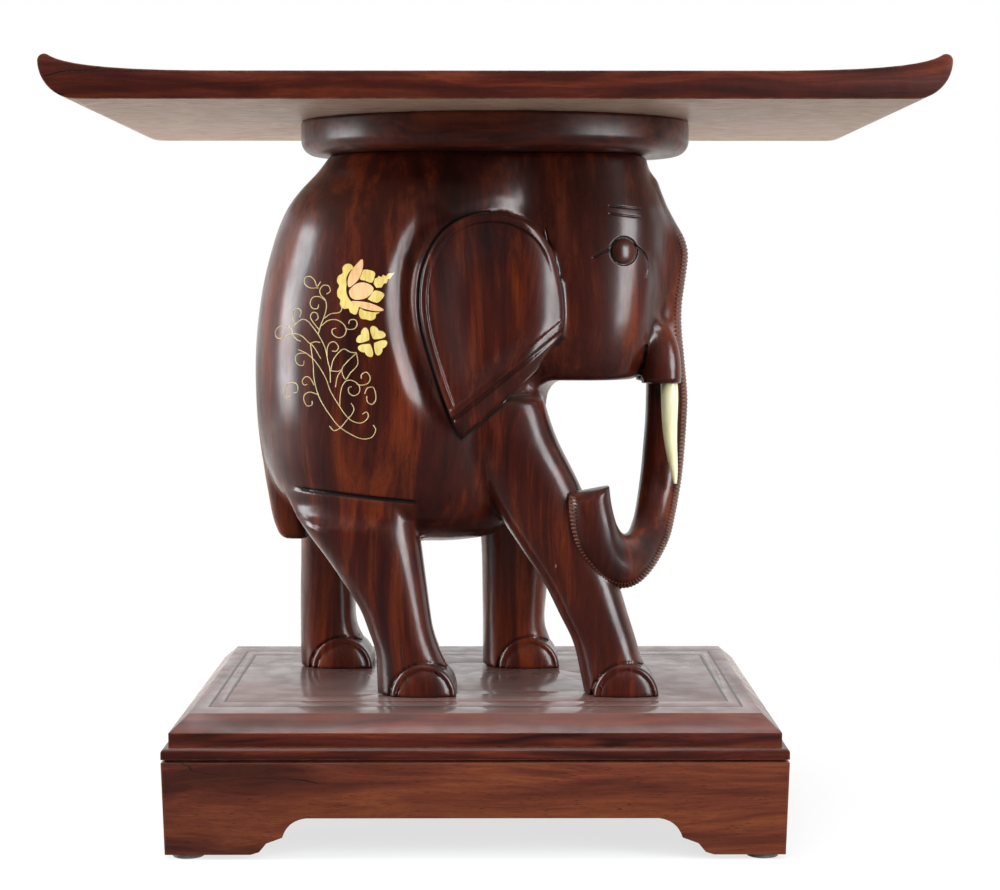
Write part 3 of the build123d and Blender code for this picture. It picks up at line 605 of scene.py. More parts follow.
# %% Finer faces where the carving is finer
PLAIN_EDGE, TRUNK_EDGE, FOOT_EDGE, NAIL_EDGE = 9.0, 1.7, 1.6, 0.9
RIM_EDGE, LINE_EDGE, STROKE_EDGE = 0.8, 0.6, 0.5


def wanted_edge(p, reach):
    """How long a face's edges may be at each point; reach is how far the face itself goes."""
    x, y, z = p.T
    a = np.abs(y)
    want = np.full(len(p), PLAIN_EDGE)

    def fine(where, size):
        want[where] = np.minimum(want[where], size)

    edge = -only_near(beside_ear(x, z) & (a > 50), to_ear_edge, x, z)
    face = np.abs(a - ear_face(x, z, edge))
    on_ear = (a > 58) & (face < 4.5)
    fine(on_ear & (edge > -1 - reach) & (edge < 6.2 + reach), RIM_EDGE)
    fine(on_ear & (edge > -1) & (np.abs(fold_height(x, z)) < 4.6 + reach), RIM_EDGE)
    fine((a > 55) & (np.abs(edge + 1) < 1.8 + reach), LINE_EDGE)
    side = (a > 22) & (a < 58)
    fine(side & (np.hypot(x - EYE[0], z - EYE[1]) < EYE_RADIUS + 1.4 + reach), STROKE_EDGE)
    for line, width, _ in strokes:
        away = only_near(side & on_head(x, z), lambda x, z: to_line(x, z, line), x, z)
        fine((away < width * 0.6 + 0.3 + reach) & (width < 5), STROKE_EDGE)
    for front, foot_side in FEET:
        r = from_toe(x, z, front)
        on_foot = (foot_side * y > 22) & (r < TOE_RADIUS + 3)
        fine(on_foot, FOOT_EDGE)
        fine(on_foot & (r > NAIL_RADIUS - 1.6), NAIL_EDGE)
    for foot_side, crease, low_x, high_x in ((RIGHT, CREASE_RIGHT, -122, -44),
                                             (LEFT, CREASE_LEFT, -130, -60)):
        beside = (foot_side * y > 18) & (x > low_x) & (x < high_x)
        fine(beside & (np.abs(crease_height(x, z, crease)) < 2.4 + reach), RIM_EDGE)
    hanging = only_near((x > 40) & (z < 300), lambda x, y, z: np.maximum(
        to_loop(x, z, trunk_loop), np.abs(y - swing_at(x, z)) - TRUNK_HALF), x, y, z)
    fine(hanging < 2, TRUNK_EDGE)
    return want


def refined(thing, rounds):
    """Halve the faces that are too coarse, and settle the new points."""
    for i in range(rounds):
        settled = len(thing.data.vertices)
        bm = bmesh.new()
        bm.from_mesh(thing.data)
        bm.faces.ensure_lookup_table()
        middles = np.array([f.calc_center_median() for f in bm.faces]) / MM
        longest = np.array([max(e.calc_length() for e in f.edges) for f in bm.faces]) / MM
        too_long = longest > 1.35 * wanted_edge(middles, 0.75 * longest)
        edges = {e for f, split in zip(bm.faces, too_long) if split for e in f.edges
                 if e.calc_length() / MM > longest[f.index] * 0.6}
        bmesh.ops.subdivide_edges(bm, edges=list(edges), cuts=1, use_grid_fill=True)
        bm.to_mesh(thing.data)
        bm.free()
        p = np.empty(len(thing.data.vertices) * 3)
        thing.data.vertices.foreach_get("co", p)
        p = p.reshape(-1, 3) / MM
        p[settled:] = settle(elephant, p[settled:], 2, 0.8)
        thing.data.vertices.foreach_set("co", (p * MM).ravel())
        thing.data.update()
        print("round", i + 1, "faces", len(thing.data.polygons))


# %% The carving itself
CARVING_STEP = 3.0
MARGIN = 6.0
low, high = box_mm("elephant_carving")
points, faces = skin(elephant, low - MARGIN, high + MARGIN, CARVING_STEP)
points = settle(elephant, points)
print("skin:", len(points), "points", len(faces), "faces")
carving = as_mesh("elephant_carved", points, faces)
refined(carving, 3)
bm = bmesh.new()
bm.from_mesh(carving.data)
bmesh.ops.triangulate(bm, faces=[f for f in bm.faces if len(f.verts) > 4])
bmesh.ops.recalc_face_normals(bm, faces=bm.faces)
triangles = sum(len(f.verts) - 2 for f in bm.faces)
print("volume", round(bm.calc_volume() * 1e6), "cm3,", triangles, "triangles")
bm.to_mesh(carving.data)
bm.free()
carving.data.shade_smooth()

# %% Remembering the cuts, so that dirt and painted shade can fill them
co = np.empty(len(carving.data.vertices) * 3)
carving.data.vertices.foreach_get("co", co)
x, y, z = co.reshape(-1, 3).T / MM
a = np.abs(y)
FINE_STROKE = 3.0
depth = only_near(on_head(x, z) & (a > 18),
                  lambda x, z: np.maximum(scored(x, z, FINE_STROKE), eye(x, z)), x, z)
depth[depth >= FAR] = 0
depth = np.maximum(depth, creases(x, y, z))
rim = only_near(beside_ear(x, z) & (a > 50), to_ear_edge, x, z)
# The line round the ear's rim is painted dark as well, as dirt and painted shade, also where its cut is
# shallow.
low_down = (a < ear_face(x, z, -rim) - 1.2) | ((x > 8) & (z > 290))
depth = np.maximum(depth, 0.7 * low_down * (1 - ramp(np.abs(rim - 0.8), 0.4, 1.7)))
for front, foot_side in FEET:
    depth = np.maximum(depth, 0.45 * (foot_side * y > 20) * round_toe(x, z, front, 0.2, 1.2))
cuts_made = carving.data.attributes.new("cut_depth", "FLOAT", "POINT")
cuts_made.data.foreach_set("value", np.clip(depth, 0, 1))
print("cut points:", int((depth > 0.2).sum()))

# %% Handing the carving over
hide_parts("elephant_carving")
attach(carving, "root")

# %% [markdown]
# ## Inlay
# Petals and wires are let into the flank until they lie flush with it.  The flank curves both
# ways, so each petal is drawn flat, filled with small triangles and then pushed straight onto
# the carved surface; the wires are drawn the same way as lines.

# %% Laying a drawing on the flank
PROUD = 0.14            # a tile stands this much out of the wood
TILE = 1.3              # and is this thick
OUTSIDE = 82.0          # the search for the flank starts this far from the middle plane


def on_flank(drawing, side, proud=PROUD):
    """Points (forward, height) carried sideways onto the carving, standing a little proud."""
    x, z = np.asarray(drawing, float).T
    y = np.full(len(x), side * OUTSIDE)
    for _ in range(22):
        y = y - side * elephant(x, y, z) * 0.9
    return np.column_stack([x, y + side * proud, z])


def petal(drawing, side, spacing=1.5):
    """A thin tile with the drawn outline, bent to the flank: points and faces."""
    rim = np.asarray(drawing, float)
    low, high = rim.min(0), rim.max(0)
    inner = [(px, pz) for i, px in enumerate(np.arange(low[0], high[0], spacing))
             for pz in np.arange(low[1], high[1], spacing) + (i % 2) * spacing / 2]
    inner = np.array(inner)
    inner = inner[to_loop(inner[:, 0], inner[:, 1], rim) < -0.55 * spacing]
    flat = [Vector(p) for p in np.vstack([rim, inner])]
    flat, _, faces, *_ = delaunay_2d_cdt(flat, [], [list(range(len(rim)))], 1, 1e-5)
    top = on_flank([tuple(p) for p in flat], side)
    bottom = top - [0, side * TILE, 0]
    n = len(top)
    used = list(dict.fromkeys(e for f in faces for e in zip(f, f[1:] + f[:1])))
    inner_edges = set(used)
    walls = [(b, a, a + n, b + n) for a, b in used if (b, a) not in inner_edges]
    under = [tuple(v + n for v in reversed(f)) for f in faces]
    return np.vstack([top, bottom]), [tuple(f) for f in faces] + under + walls


def gathered(name, shapes, node):
    """Several small shapes as one piece that takes the place of a node."""
    points, faces, start = [], [], 0
    for p, f in shapes:
        points.append(p)
        faces += [tuple(v + start for v in face) for face in f]
        start += len(p)
    piece = as_mesh(name, np.vstack(points), faces, False)
    bm = bmesh.new()
    bm.from_mesh(piece.data)
    bmesh.ops.recalc_face_normals(bm, faces=bm.faces)
    bm.to_mesh(piece.data)
    bm.free()
    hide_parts(node)
    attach(piece, "root")
    print(name, len(piece.data.polygons), "faces")
    return piece


# %% The lotus
SHELL = [
    (-84, 339), (-85.8, 341.2), (-88.6, 341.2), (-90.6, 339), (-90.5, 336), (-93, 334.2), (-93.9, 331),
    (-92.5, 328.4), (-93.7, 325.5), (-93.5, 322.2), (-91.8, 320), (-92, 316.8), (-89.5, 314.7),
    (-87, 315), (-85.6, 312.5), (-82.6, 311.4), (-81.3, 313.6), (-81, 316), (-84, 318), (-87, 321.3),
    (-88.3, 325.2), (-88.1, 329.3), (-88.2, 333), (-86.2, 337),
]
SKIRT = [
    (-80.6, 311.6), (-79.9, 315), (-77.3, 313.7), (-72.3, 312.8), (-68.3, 312.6), (-70.4, 311.6),
    (-71, 309.2), (-73.5, 307.9), (-76.5, 308.6), (-79.3, 309),
]
LEAF_UP = [
    (-78.8, 344.2), (-78.2, 340.7), (-78.9, 337), (-80.6, 332.6), (-83.6, 329.4), (-86.3, 327.6),
    (-87.4, 329), (-87.2, 332.8), (-85.4, 337), (-82.3, 341),
]
BLUNT_TOP = [
    (-77.6, 338), (-71.4, 336.6), (-71.6, 332.8), (-73.2, 330.2), (-77, 331.4), (-80, 332.3), (-79, 335.4),
]
NOTCHED = [
    (-59.8, 336.2), (-62.2, 332.6), (-63.4, 332.5), (-64.2, 330), (-65.8, 329.7), (-67.2, 327.4),
    (-70.4, 327.2), (-71.9, 329.6), (-71.3, 332.6), (-69.5, 333.2), (-69.2, 334.2), (-67.4, 333.5),
    (-66.4, 335), (-64.7, 334), (-63.4, 335.6),
]
CORE = [
    (-86.5, 325.6), (-83.1, 329.1), (-79, 330.4), (-74.8, 329.5), (-72, 327), (-73, 324),
    (-76.4, 321.2), (-80.6, 320.2), (-84, 320.5), (-86, 322.5),
]
BLUNT_SIDE = [
    (-71.2, 325.6), (-66.3, 324.2), (-65.8, 322.4), (-67.8, 319.6), (-70.4, 318.4), (-75.2, 320.4),
    (-74.2, 321.9),
]
LEAF_DOWN = [
    (-85, 319.4), (-80.6, 319.2), (-75.6, 318.6), (-70.5, 316.9), (-66, 314.4), (-67.6, 313.4),
    (-72.2, 313.6), (-77.2, 314.7), (-81.4, 316.2), (-83.9, 317.7),
]


def soft(points):
    """A drawn outline with its corners rounded by the line that runs through it."""
    return bent_line(points, 3, closed=True)


yellow_bits = [soft(SHELL), soft(SKIRT), soft(BLUNT_TOP), NOTCHED, soft(BLUNT_SIDE)]
peach_bits = [soft(LEAF_UP), soft(CORE), soft(LEAF_DOWN)]

# %% The small flower
BLOOM = (-73.1, 295.5)
BLOOM_REACH = 9.8
BLOOM_EYE = 1.8


def heart(turn):
    """One heart-shaped petal, its point at the flower's eye."""
    u = np.linspace(0, 2 * pi, 40, endpoint=False)
    wide = 0.52 * BLOOM_REACH * np.sin(u) ** 3
    out = BLOOM_REACH * (0.58 + 0.355 * np.cos(u) - 0.125 * np.cos(2 * u) - 0.05 * np.cos(3 * u))
    out = np.maximum(out, BLOOM_EYE)
    return np.column_stack([BLOOM[0] + out * cos(turn) - wide * sin(turn),
                            BLOOM[1] + out * sin(turn) + wide * cos(turn)])


hearts = [heart(radians(57 + 90 * k)) for k in range(4)]

# %% Petals of both flanks
SIDES = ((RIGHT, "right"), (LEFT, "left"))
FLOWERS = (("lotus_outer_", yellow_bits, "lotus_outer_petals_", "yellow_petal"),
           ("lotus_heart_", peach_bits, "lotus_heart_petals_", "peach_petal"),
           ("bloom_", hearts, "small_flower_", "flower_shell"))
tiles = {}
for side, hand in SIDES:
    for name, drawings, node, colour_slot in FLOWERS:
        shapes = [petal(drawing, side) for drawing in drawings]
        tiles[node + hand] = gathered(name + hand, shapes, node + hand)

# %% [markdown]
# The vine is thin wire hammered into a scored line.  Its scrolls are drawn as lines on the
# flank, and a Geometry Nodes tree turns every line into round wire of one named thickness.

# %% The vine's lines
VINE = [
    [(-72.5, 246), (-71, 243), (-73.5, 238.6), (-79.3, 237.7), (-86, 240.4), (-93, 245), (-98.8, 252.2),
     (-103.8, 260), (-106.7, 267.5), (-108.1, 275), (-108.4, 282), (-109.2, 288), (-110, 293.5)],
    [(-78.8, 252.4), (-76.3, 253.7), (-75.4, 250.5), (-79.3, 247.2), (-84.4, 248), (-88.6, 251.4),
     (-92.8, 257.4), (-97.9, 265.8), (-100.5, 273), (-104.6, 280.2), (-108.4, 285), (-113, 288.5),
     (-117.6, 290.4)],
    [(-85.6, 259), (-83.9, 255.6), (-85.2, 252.2), (-87.8, 249.2), (-92, 244.3), (-95.9, 242.4),
     (-98.8, 245)],
    [(-92.4, 257.3), (-92.1, 263.3), (-91, 268.4), (-88.9, 271.8), (-85.9, 272.5), (-82.6, 271.3),
     (-80.4, 268.4), (-80.9, 265), (-83.9, 263.3), (-86.8, 265), (-87, 267.9), (-85.1, 268.8)],
    [(-82.1, 270.3), (-79.2, 269.6), (-75.3, 270.9), (-74.1, 274.3), (-76.2, 277.3), (-79.1, 276),
     (-79.4, 273.4)],
    [(-77.5, 264.6), (-75.8, 267.8), (-72.4, 268.3), (-70.9, 264.5), (-71, 260.5), (-73.2, 258.3),
     (-75.8, 259.8), (-76.2, 263.2)],
    [(-97.8, 278.1), (-96.1, 284.5), (-92.6, 289.1), (-89.5, 291), (-85.9, 289.2), (-82, 288.8)],
    [(-82.2, 288.7), (-81.5, 282), (-85.9, 276.8), (-88.9, 273), (-91, 278.7), (-87.6, 283.6),
     (-82.5, 288.3)],
    [(-97.8, 278.1), (-93.5, 277.7), (-91, 278.7), (-93.6, 274.7), (-94.9, 268.4)],
    [(-98, 271), (-98.2, 278.5), (-99.4, 283.6), (-100.7, 290.4), (-102.6, 295), (-105.3, 299.7),
     (-108.6, 304), (-111.4, 307.2), (-114.3, 308.5), (-117.3, 307.3), (-121.8, 303.1)],
    [(-99.9, 287), (-99.8, 291.3), (-98.1, 294.6), (-95.1, 295.1), (-93, 292.3), (-94.3, 289.7),
     (-96.9, 289.8)],
    [(-105.3, 299.7), (-103.4, 305.6), (-101.4, 310.7), (-100.2, 315.8), (-100.9, 320), (-103.5, 322.8),
     (-104.3, 325.9), (-102.2, 328.6), (-98.9, 328.3), (-97.9, 325.2), (-100.1, 323.5)],
    [(-103.1, 304.8), (-99.3, 307.8), (-94.2, 308.3), (-90, 305.8), (-88.3, 302.3), (-89.6, 298.9),
     (-93, 297.7), (-96.4, 299.7), (-96.7, 302.4), (-94.3, 303.4)],
    [(-88.8, 303.5), (-86.6, 302.6), (-83.3, 303.1), (-81.7, 305.6), (-82.8, 308.2), (-85.8, 308.2),
     (-86.8, 306)],
    [(-101.8, 309), (-97.6, 311.8), (-92.5, 312.6), (-90.9, 315), (-92, 318)],
    [(-101.1, 319.8), (-104.3, 321.9), (-108.5, 321.6), (-110.2, 318.3), (-108.9, 315.2),
     (-105.8, 314.9), (-104.9, 317.3)],
    [(-105.1, 327.2), (-110.2, 327.2), (-113.7, 329.7), (-113.4, 333.2), (-110.2, 334), (-107.4, 331.4),
     (-106, 328), (-103.8, 330.8)],
    [(-104.8, 302.5), (-108.4, 306.9), (-110, 310), (-108.6, 312.6), (-106, 312), (-105.3, 309.3),
     (-106.8, 307.8)],
    [(-119.2, 305.2), (-121, 309), (-120.9, 313.2), (-117.9, 315), (-115.8, 313.2), (-116.6, 309.8)],
    [(-121.8, 303.1), (-125.6, 304.9), (-129.8, 304), (-132.4, 301.2), (-131.9, 297.9), (-129, 296.8),
     (-126.5, 299)],
    [(-121.8, 303.1), (-120.5, 298.9), (-118.4, 296.3), (-116, 295.4)],
    [(-126.5, 298), (-122.2, 299.7), (-118, 299.7), (-114.6, 298), (-111.2, 294.8), (-107.9, 292.1),
     (-103.7, 285.2)],
    [(-110, 294.2), (-107, 295.2), (-104, 294.8)],
    [(-113.2, 288.5), (-118.1, 287.7), (-119.5, 284.5), (-117.7, 281.4), (-114.6, 281.2),
     (-114, 283.9)],
    [(-105.9, 263.9), (-110.6, 265.2), (-114, 263.3), (-114.2, 259.8), (-112.2, 256.9), (-109.4, 257.6),
     (-109.3, 260)],
    [(-107.8, 269.3), (-110.5, 273.6), (-113.2, 274.2), (-115.3, 271.8), (-114.2, 269.4),
     (-112.2, 269.8)],
    [(-121, 264.2), (-118.4, 265.2), (-118.2, 268.8), (-120.4, 270.6), (-124.6, 269.6), (-126.8, 265.6),
     (-125.2, 261.8), (-122.4, 262.4)],
]
print("vine:", len(VINE), "lines")


def tree(name, **inputs):
    """An empty Geometry Nodes tree with a geometry input and output, and named inputs."""
    t = bpy.data.node_groups.new(name, "GeometryNodeTree")
    t.interface.new_socket("Geometry", in_out="INPUT", socket_type="NodeSocketGeometry")
    t.interface.new_socket("Geometry", in_out="OUTPUT", socket_type="NodeSocketGeometry")
    for label, kind in inputs.items():
        t.interface.new_socket(label, in_out="INPUT", socket_type="NodeSocket" + kind)
    return t, t.nodes.new("NodeGroupInput"), t.nodes.new("NodeGroupOutput")


def joined(t, links):
    """Link outputs to inputs, given as pairs."""
    for a, b in links:
        t.links.new(a, b)


def finished(t, tree_in, geometry, tree_out):
    """The end of a tree: real geometry, all in the material of the input named Finish."""
    real = t.nodes.new("GeometryNodeRealizeInstances")
    coat = t.nodes.new("GeometryNodeSetMaterial")
    joined(t, [(geometry, real.inputs["Geometry"]), (real.outputs["Geometry"], coat.inputs["Geometry"]),
               (tree_in.outputs["Finish"], coat.inputs["Material"]),
               (coat.outputs["Geometry"], tree_out.inputs["Geometry"])])


def grown(thing, node_tree, **values):
    """The plain mesh that a tree makes of an object, under the same name."""
    modifier = thing.modifiers.new("tree", "NODES")
    modifier.node_group = node_tree
    for item in node_tree.interface.items_tree:
        if item.in_out == "INPUT" and item.name in values:
            modifier[item.identifier] = values[item.name]
    seen = thing.evaluated_get(bpy.context.evaluated_depsgraph_get())
    mesh = bpy.data.meshes.new_from_object(seen)
    name = thing.name
    bpy.data.objects.remove(thing)
    plain_thing = bpy.data.objects.new(name, mesh)
    scene.collection.objects.link(plain_thing)
    return plain_thing


# %% Round wire along any line
wire_tree, wire_in, wire_out = tree("round_wire", Thickness="Float", Finish="Material")
as_line = wire_tree.nodes.new("GeometryNodeMeshToCurve")
section = wire_tree.nodes.new("GeometryNodeCurvePrimitiveCircle")
section.inputs["Resolution"].default_value = 6
halve = wire_tree.nodes.new("ShaderNodeMath")
halve.operation = "MULTIPLY"
halve.inputs[1].default_value = 0.5
pull = wire_tree.nodes.new("GeometryNodeCurveToMesh")
pull.inputs["Fill Caps"].default_value = True
joined(wire_tree, [
    (wire_in.outputs["Geometry"], as_line.inputs["Mesh"]), (wire_in.outputs["Thickness"], halve.inputs[0]),
    (halve.outputs[0], section.inputs["Radius"]), (as_line.outputs["Curve"], pull.inputs["Curve"]),
    (section.outputs["Curve"], pull.inputs["Profile Curve"])])
finished(wire_tree, wire_in, pull.outputs["Mesh"], wire_out)
print("wire tree:", len(wire_tree.nodes), "nodes")

# %% The vine on both flanks
VINE_WIRE = 0.62        # thickness
VINE_SUNK = 0.08        # its middle lies this deep
brass = bpy.data.materials.new("vine_wire")


def line_mesh(name, lines):
    """Separate lines as a mesh of points and edges."""
    points, edges = [], []
    for line in lines:
        start = len(points)
        points += [tuple(p) for p in line * MM]
        edges += [(start + i, start + i + 1) for i in range(len(line) - 1)]
    mesh = bpy.data.meshes.new(name)
    mesh.from_pydata(points, edges, [])
    thing = bpy.data.objects.new(name, mesh)
    scene.collection.objects.link(thing)
    return thing


smooth = [bent_line(line, 5) for line in VINE]
runs = np.cumsum([len(line) for line in smooth])[:-1]
for side, hand in SIDES:
    laid = np.split(on_flank(np.vstack(smooth), side, -VINE_SUNK), runs)
    vine = grown(line_mesh("vine_" + hand, laid), wire_tree, Thickness=VINE_WIRE * MM, Finish=brass)
    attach(vine, "root")
    print("vine", hand, len(vine.data.polygons), "faces")

# %% [markdown]
# ## Notched trunk
# The front of the trunk is nicked across from the brow to the tip.  The nicks leave small
# ribs, and one rib repeated along a line is work for Geometry Nodes: the line carries the
# direction that faces out, and every rib turns to it.

# %% One rib
RIB_SPACING = 2.4
RIB_THICK = 1.9
RIB_HALF = 12.4         # half its length
RIB_FLAT = 0.72         # how far it stands out, against its thickness
RIB_PINCH = 0.45        # it is this much thinner at its ends
RIB_SIDES = 6


def rib_mesh():
    """A bar that follows the trunk's rounded front, pinched at both ends: X is outwards."""
    across = np.linspace(-RIB_HALF, RIB_HALF, 9)
    rounding = TRUNK_CROWN * (np.abs(across) / TRUNK_HALF) ** TRUNK_ROUND
    points, faces = [], []
    for v, inset in zip(across, rounding):
        size = RIB_THICK / 2 * (1 - RIB_PINCH * (abs(v) / RIB_HALF) ** 4)
        for turn in range(RIB_SIDES):
            angle = 2 * pi * turn / RIB_SIDES
            points.append((RIB_FLAT * size * cos(angle) - inset, v, size * sin(angle)))
    for ring in range(0, len(points) - RIB_SIDES, RIB_SIDES):
        for turn in range(RIB_SIDES):
            a, b = ring + turn, ring + (turn + 1) % RIB_SIDES
            faces.append((a, b, b + RIB_SIDES, a + RIB_SIDES))
    faces += [tuple(range(RIB_SIDES))[::-1], tuple(range(len(points) - RIB_SIDES, len(points)))]
    return points, faces


rib = as_mesh("rib", *rib_mesh(), False)

# %% The tree that repeats the rib
rib_tree, rib_in, rib_out = tree("ribs_along", Rib="Object", Spacing="Float", Finish="Material")
along = rib_tree.nodes.new("GeometryNodeMeshToCurve")
beads = rib_tree.nodes.new("GeometryNodeCurveToPoints")
beads.mode = "LENGTH"
facing = rib_tree.nodes.new("GeometryNodeInputNamedAttribute")
facing.data_type = "FLOAT_VECTOR"
facing.inputs["Name"].default_value = "outwards"
turned = rib_tree.nodes.new("FunctionNodeAlignRotationToVector")
turned.axis, turned.pivot_axis = "X", "Y"
shape = rib_tree.nodes.new("GeometryNodeObjectInfo")
place = rib_tree.nodes.new("GeometryNodeInstanceOnPoints")
joined(rib_tree, [
    (rib_in.outputs["Geometry"], along.inputs["Mesh"]), (along.outputs["Curve"], beads.inputs["Curve"]),
    (rib_in.outputs["Spacing"], beads.inputs["Length"]), (beads.outputs["Points"], place.inputs["Points"]),
    (rib_in.outputs["Rib"], shape.inputs["Object"]), (shape.outputs["Geometry"], place.inputs["Instance"]),
    (facing.outputs["Attribute"], turned.inputs["Vector"]),
    (turned.outputs["Rotation"], place.inputs["Rotation"])])
finished(rib_tree, rib_in, place.outputs["Instances"], rib_out)

# %% The ribs
RIB_START = 372.0       # height of the uppermost rib
RIB_SUNK = 0.25
nicked = bpy.data.materials.new("nicked_wood")
front_line = bent_line(TRUNK_FRONT, 10)
ahead = np.gradient(front_line, axis=0)
ahead /= np.linalg.norm(ahead, axis=1, keepdims=True)
outward = np.column_stack([-ahead[:, 1], np.zeros(len(ahead)), ahead[:, 0]])
line_3d = np.column_stack([front_line[:, 0], swing_at(*front_line.T), front_line[:, 1]]) - outward * RIB_SUNK
first = int(np.argmax(front_line[:, 1] < RIB_START))
guide = line_mesh("trunk_ribs", [line_3d[first:-2]])
facing_out = guide.data.attributes.new("outwards", "FLOAT_VECTOR", "POINT")
facing_out.data.foreach_set("vector", outward[first:-2].ravel())
ribs = grown(guide, rib_tree, Rib=rib, Spacing=RIB_SPACING * MM, Finish=nicked)
bpy.data.objects.remove(rib)
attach(ribs, "root")
print("ribs:", len(ribs.data.polygons), "faces")

# %% [markdown]
# ## Boards
# A saw leaves a board's edges sharp, and years of handling round them a little.  That narrow
# rounding is what catches the light, so every board is a merged copy of its solid with the
# sharp edges beveled by a few tenths of a millimetre.

# %% Easing the edges of a solid
SHARP = 25.0            # edges that turn by more than this many degrees are rounded
SMOOTH_UNDER = 32.0     # and faces that meet at less than this are shaded as one


def eased_copy(name, node, ease):
    """A merged copy of a node with its sharp edges rounded; it takes the node's place."""
    bm = bmesh.new()
    bm.from_mesh(nodes[node].data)
    bmesh.ops.remove_doubles(bm, verts=bm.verts, dist=2e-6)
    bmesh.ops.dissolve_limit(bm, angle_limit=radians(0.3), verts=bm.verts, edges=bm.edges)
    bm.normal_update()
    if ease:
        corners = [e for e in bm.edges if e.is_manifold and e.calc_face_angle(0) > radians(SHARP)]
        bmesh.ops.bevel(bm, geom=corners, offset=ease * MM, offset_type="OFFSET", segments=2,
                        profile=0.6, affect="EDGES", clamp_overlap=True)
    mesh = bpy.data.meshes.new(name)
    bm.to_mesh(mesh)
    bm.free()
    mesh.shade_smooth()
    mesh.set_sharp_from_angle(angle=radians(SMOOTH_UNDER))
    piece = bpy.data.objects.new(name, mesh)
    scene.collection.objects.link(piece)
    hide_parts(node)
    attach(piece, "root")
    return piece


slot_of = {s["node"]: s["material_slot"] for s in frame["record"]["subparts"]}
EASE = {"seat_board": 0.45, "plinth_board": 0.5, "saddle_disc": 0.0, "tusk_right": 0.0, "tusk_left": 0.0}
for kind, ease in (("cap_", 0.25), ("apron_", 0.35)):
    EASE.update({kind + side: ease for side in ("front", "back", "left", "right")})
boards = {node: eased_copy(node + "_eased", node, ease) for node, ease in EASE.items()}
for node, board in boards.items():
    print(node, len(board.data.polygons), "faces")

# %% [markdown]
# ## Wood under old polish
# The wood is dark rosewood.  Its colour runs in stripes along the grain, between nearly black
# and a warm orange; finer fibres and short open pores lie over them.  The stripes are noise
# pulled out along one axis, measured in millimetres, so that every board shows the same wood
# at the same size.  Each effect is a group of shader nodes, built once and placed in every
# material with its own values.

# %% Helpers for shader nodes
def effect(name, inputs, outputs):
    """An empty shader node group: inputs are (label, kind, value), outputs (label, kind)."""
    group = bpy.data.node_groups.new(name, "ShaderNodeTree")
    for label, kind, value in inputs:
        socket = group.interface.new_socket(label, in_out="INPUT", socket_type="NodeSocket" + kind)
        if value is not None:
            socket.default_value = value
    for label, kind in outputs:
        group.interface.new_socket(label, in_out="OUTPUT", socket_type="NodeSocket" + kind)
    return group, group.nodes.new("NodeGroupInput").outputs, group.nodes.new("NodeGroupOutput").inputs


def put(t, kind, feed=(), **settings):
    """Add a node, set its options and feed its inputs with numbers or other outputs."""
    node = t.nodes.new("ShaderNode" + kind)
    for key, value in settings.items():
        setattr(node, key, value)
    for key, value in dict(feed).items():
        if isinstance(value, bpy.types.NodeSocket):
            t.links.new(value, node.inputs[key])
        else:
            node.inputs[key].default_value = value
    return node


def calc(t, operation, *values):
    """A Math node's output."""
    return put(t, "Math", dict(enumerate(values)), operation=operation).outputs[0]


def times(t, a, b):
    """The product of two values."""
    return calc(t, "MULTIPLY", a, b)


def between(t, value, low, high, to_low=0.0, to_high=1.0):
    """A smooth step of a value from low to high."""
    return put(t, "MapRange", {"Value": value, "From Min": low, "From Max": high, "To Min": to_low,
                               "To Max": to_high}, interpolation_type="SMOOTHSTEP").outputs["Result"]


def noise(t, vector, scale, detail=3.0, rough=0.5, warp=0.0):
    """Noise with about this many clouds in a unit of length."""
    return put(t, "TexNoise", {"Vector": vector, "Scale": scale, "Detail": detail, "Roughness": rough,
                               "Distortion": warp}).outputs["Fac"]


def stretched(t, vector, scale, offset=(0, 0, 0)):
    """A place scaled along each axis; noise read there is drawn out where the scale is small."""
    return put(t, "Mapping", {"Vector": vector, "Scale": scale, "Location": offset}).outputs["Vector"]


def in_mm(t, place):
    """A place given in metres, in millimetres."""
    return stretched(t, place, (1000, 1000, 1000))


def faced(t, axis):
    """How far the surface faces along an axis, from -1 to 1."""
    return put(t, "SeparateXYZ", {0: put(t, "NewGeometry").outputs["Normal"]}).outputs[axis]


def shades(t, value, *stops):
    """A colour ramp; stops are (position, colour)."""
    node = put(t, "ValToRGB", {"Fac": value})
    while len(node.color_ramp.elements) < len(stops):
        node.color_ramp.elements.new(0.5)
    for element, (position, colour) in zip(node.color_ramp.elements, stops):
        element.position, element.color = position, (*colour, 1)
    return node.outputs["Color"]


def blend(t, amount, under, over):
    """One colour over another."""
    under, over = [(*c, 1) if isinstance(c, tuple) else c for c in (under, over)]
    return put(t, "Mix", {"Factor": amount, 6: under, 7: over}, data_type="RGBA").outputs[2]


def placed(t, group, **values):
    """A group placed in a material with its own values."""
    return put(t, "Group", values, node_tree=group).outputs


# %% Figure, fibres and pores
PLACE = ("Place", "Vector", None)
figure_group, i, o = effect(
    "wood_figure", [PLACE, ("Stripe", "Float", 14.0)],
    [("Figure", "Float"), ("Fibre", "Float"), ("Pores", "Float"), ("Tone", "Float")])
g = figure_group
mm = in_mm(g, i["Place"])
drift = put(g, "TexNoise", {"Vector": stretched(g, mm, (1, 1, 0.3)), "Scale": 0.016, "Detail": 2.0})
drift = drift.outputs["Color"]
drift = put(g, "VectorMath", {0: drift, "Scale": 30.0}, operation="SCALE").outputs[0]
wandering = put(g, "VectorMath", {0: mm, 1: drift}, operation="ADD").outputs[0]
wide = noise(g, stretched(g, wandering, (1, 1, 0.09)), calc(g, "DIVIDE", 1.0, i["Stripe"]), 3, 0.55, 0.6)
narrow = noise(g, stretched(g, wandering, (1, 1, 0.035)), 0.42, 3, 0.6)
pores = noise(g, stretched(g, mm, (1, 1, 0.1)), 1.9, 2, 0.5)
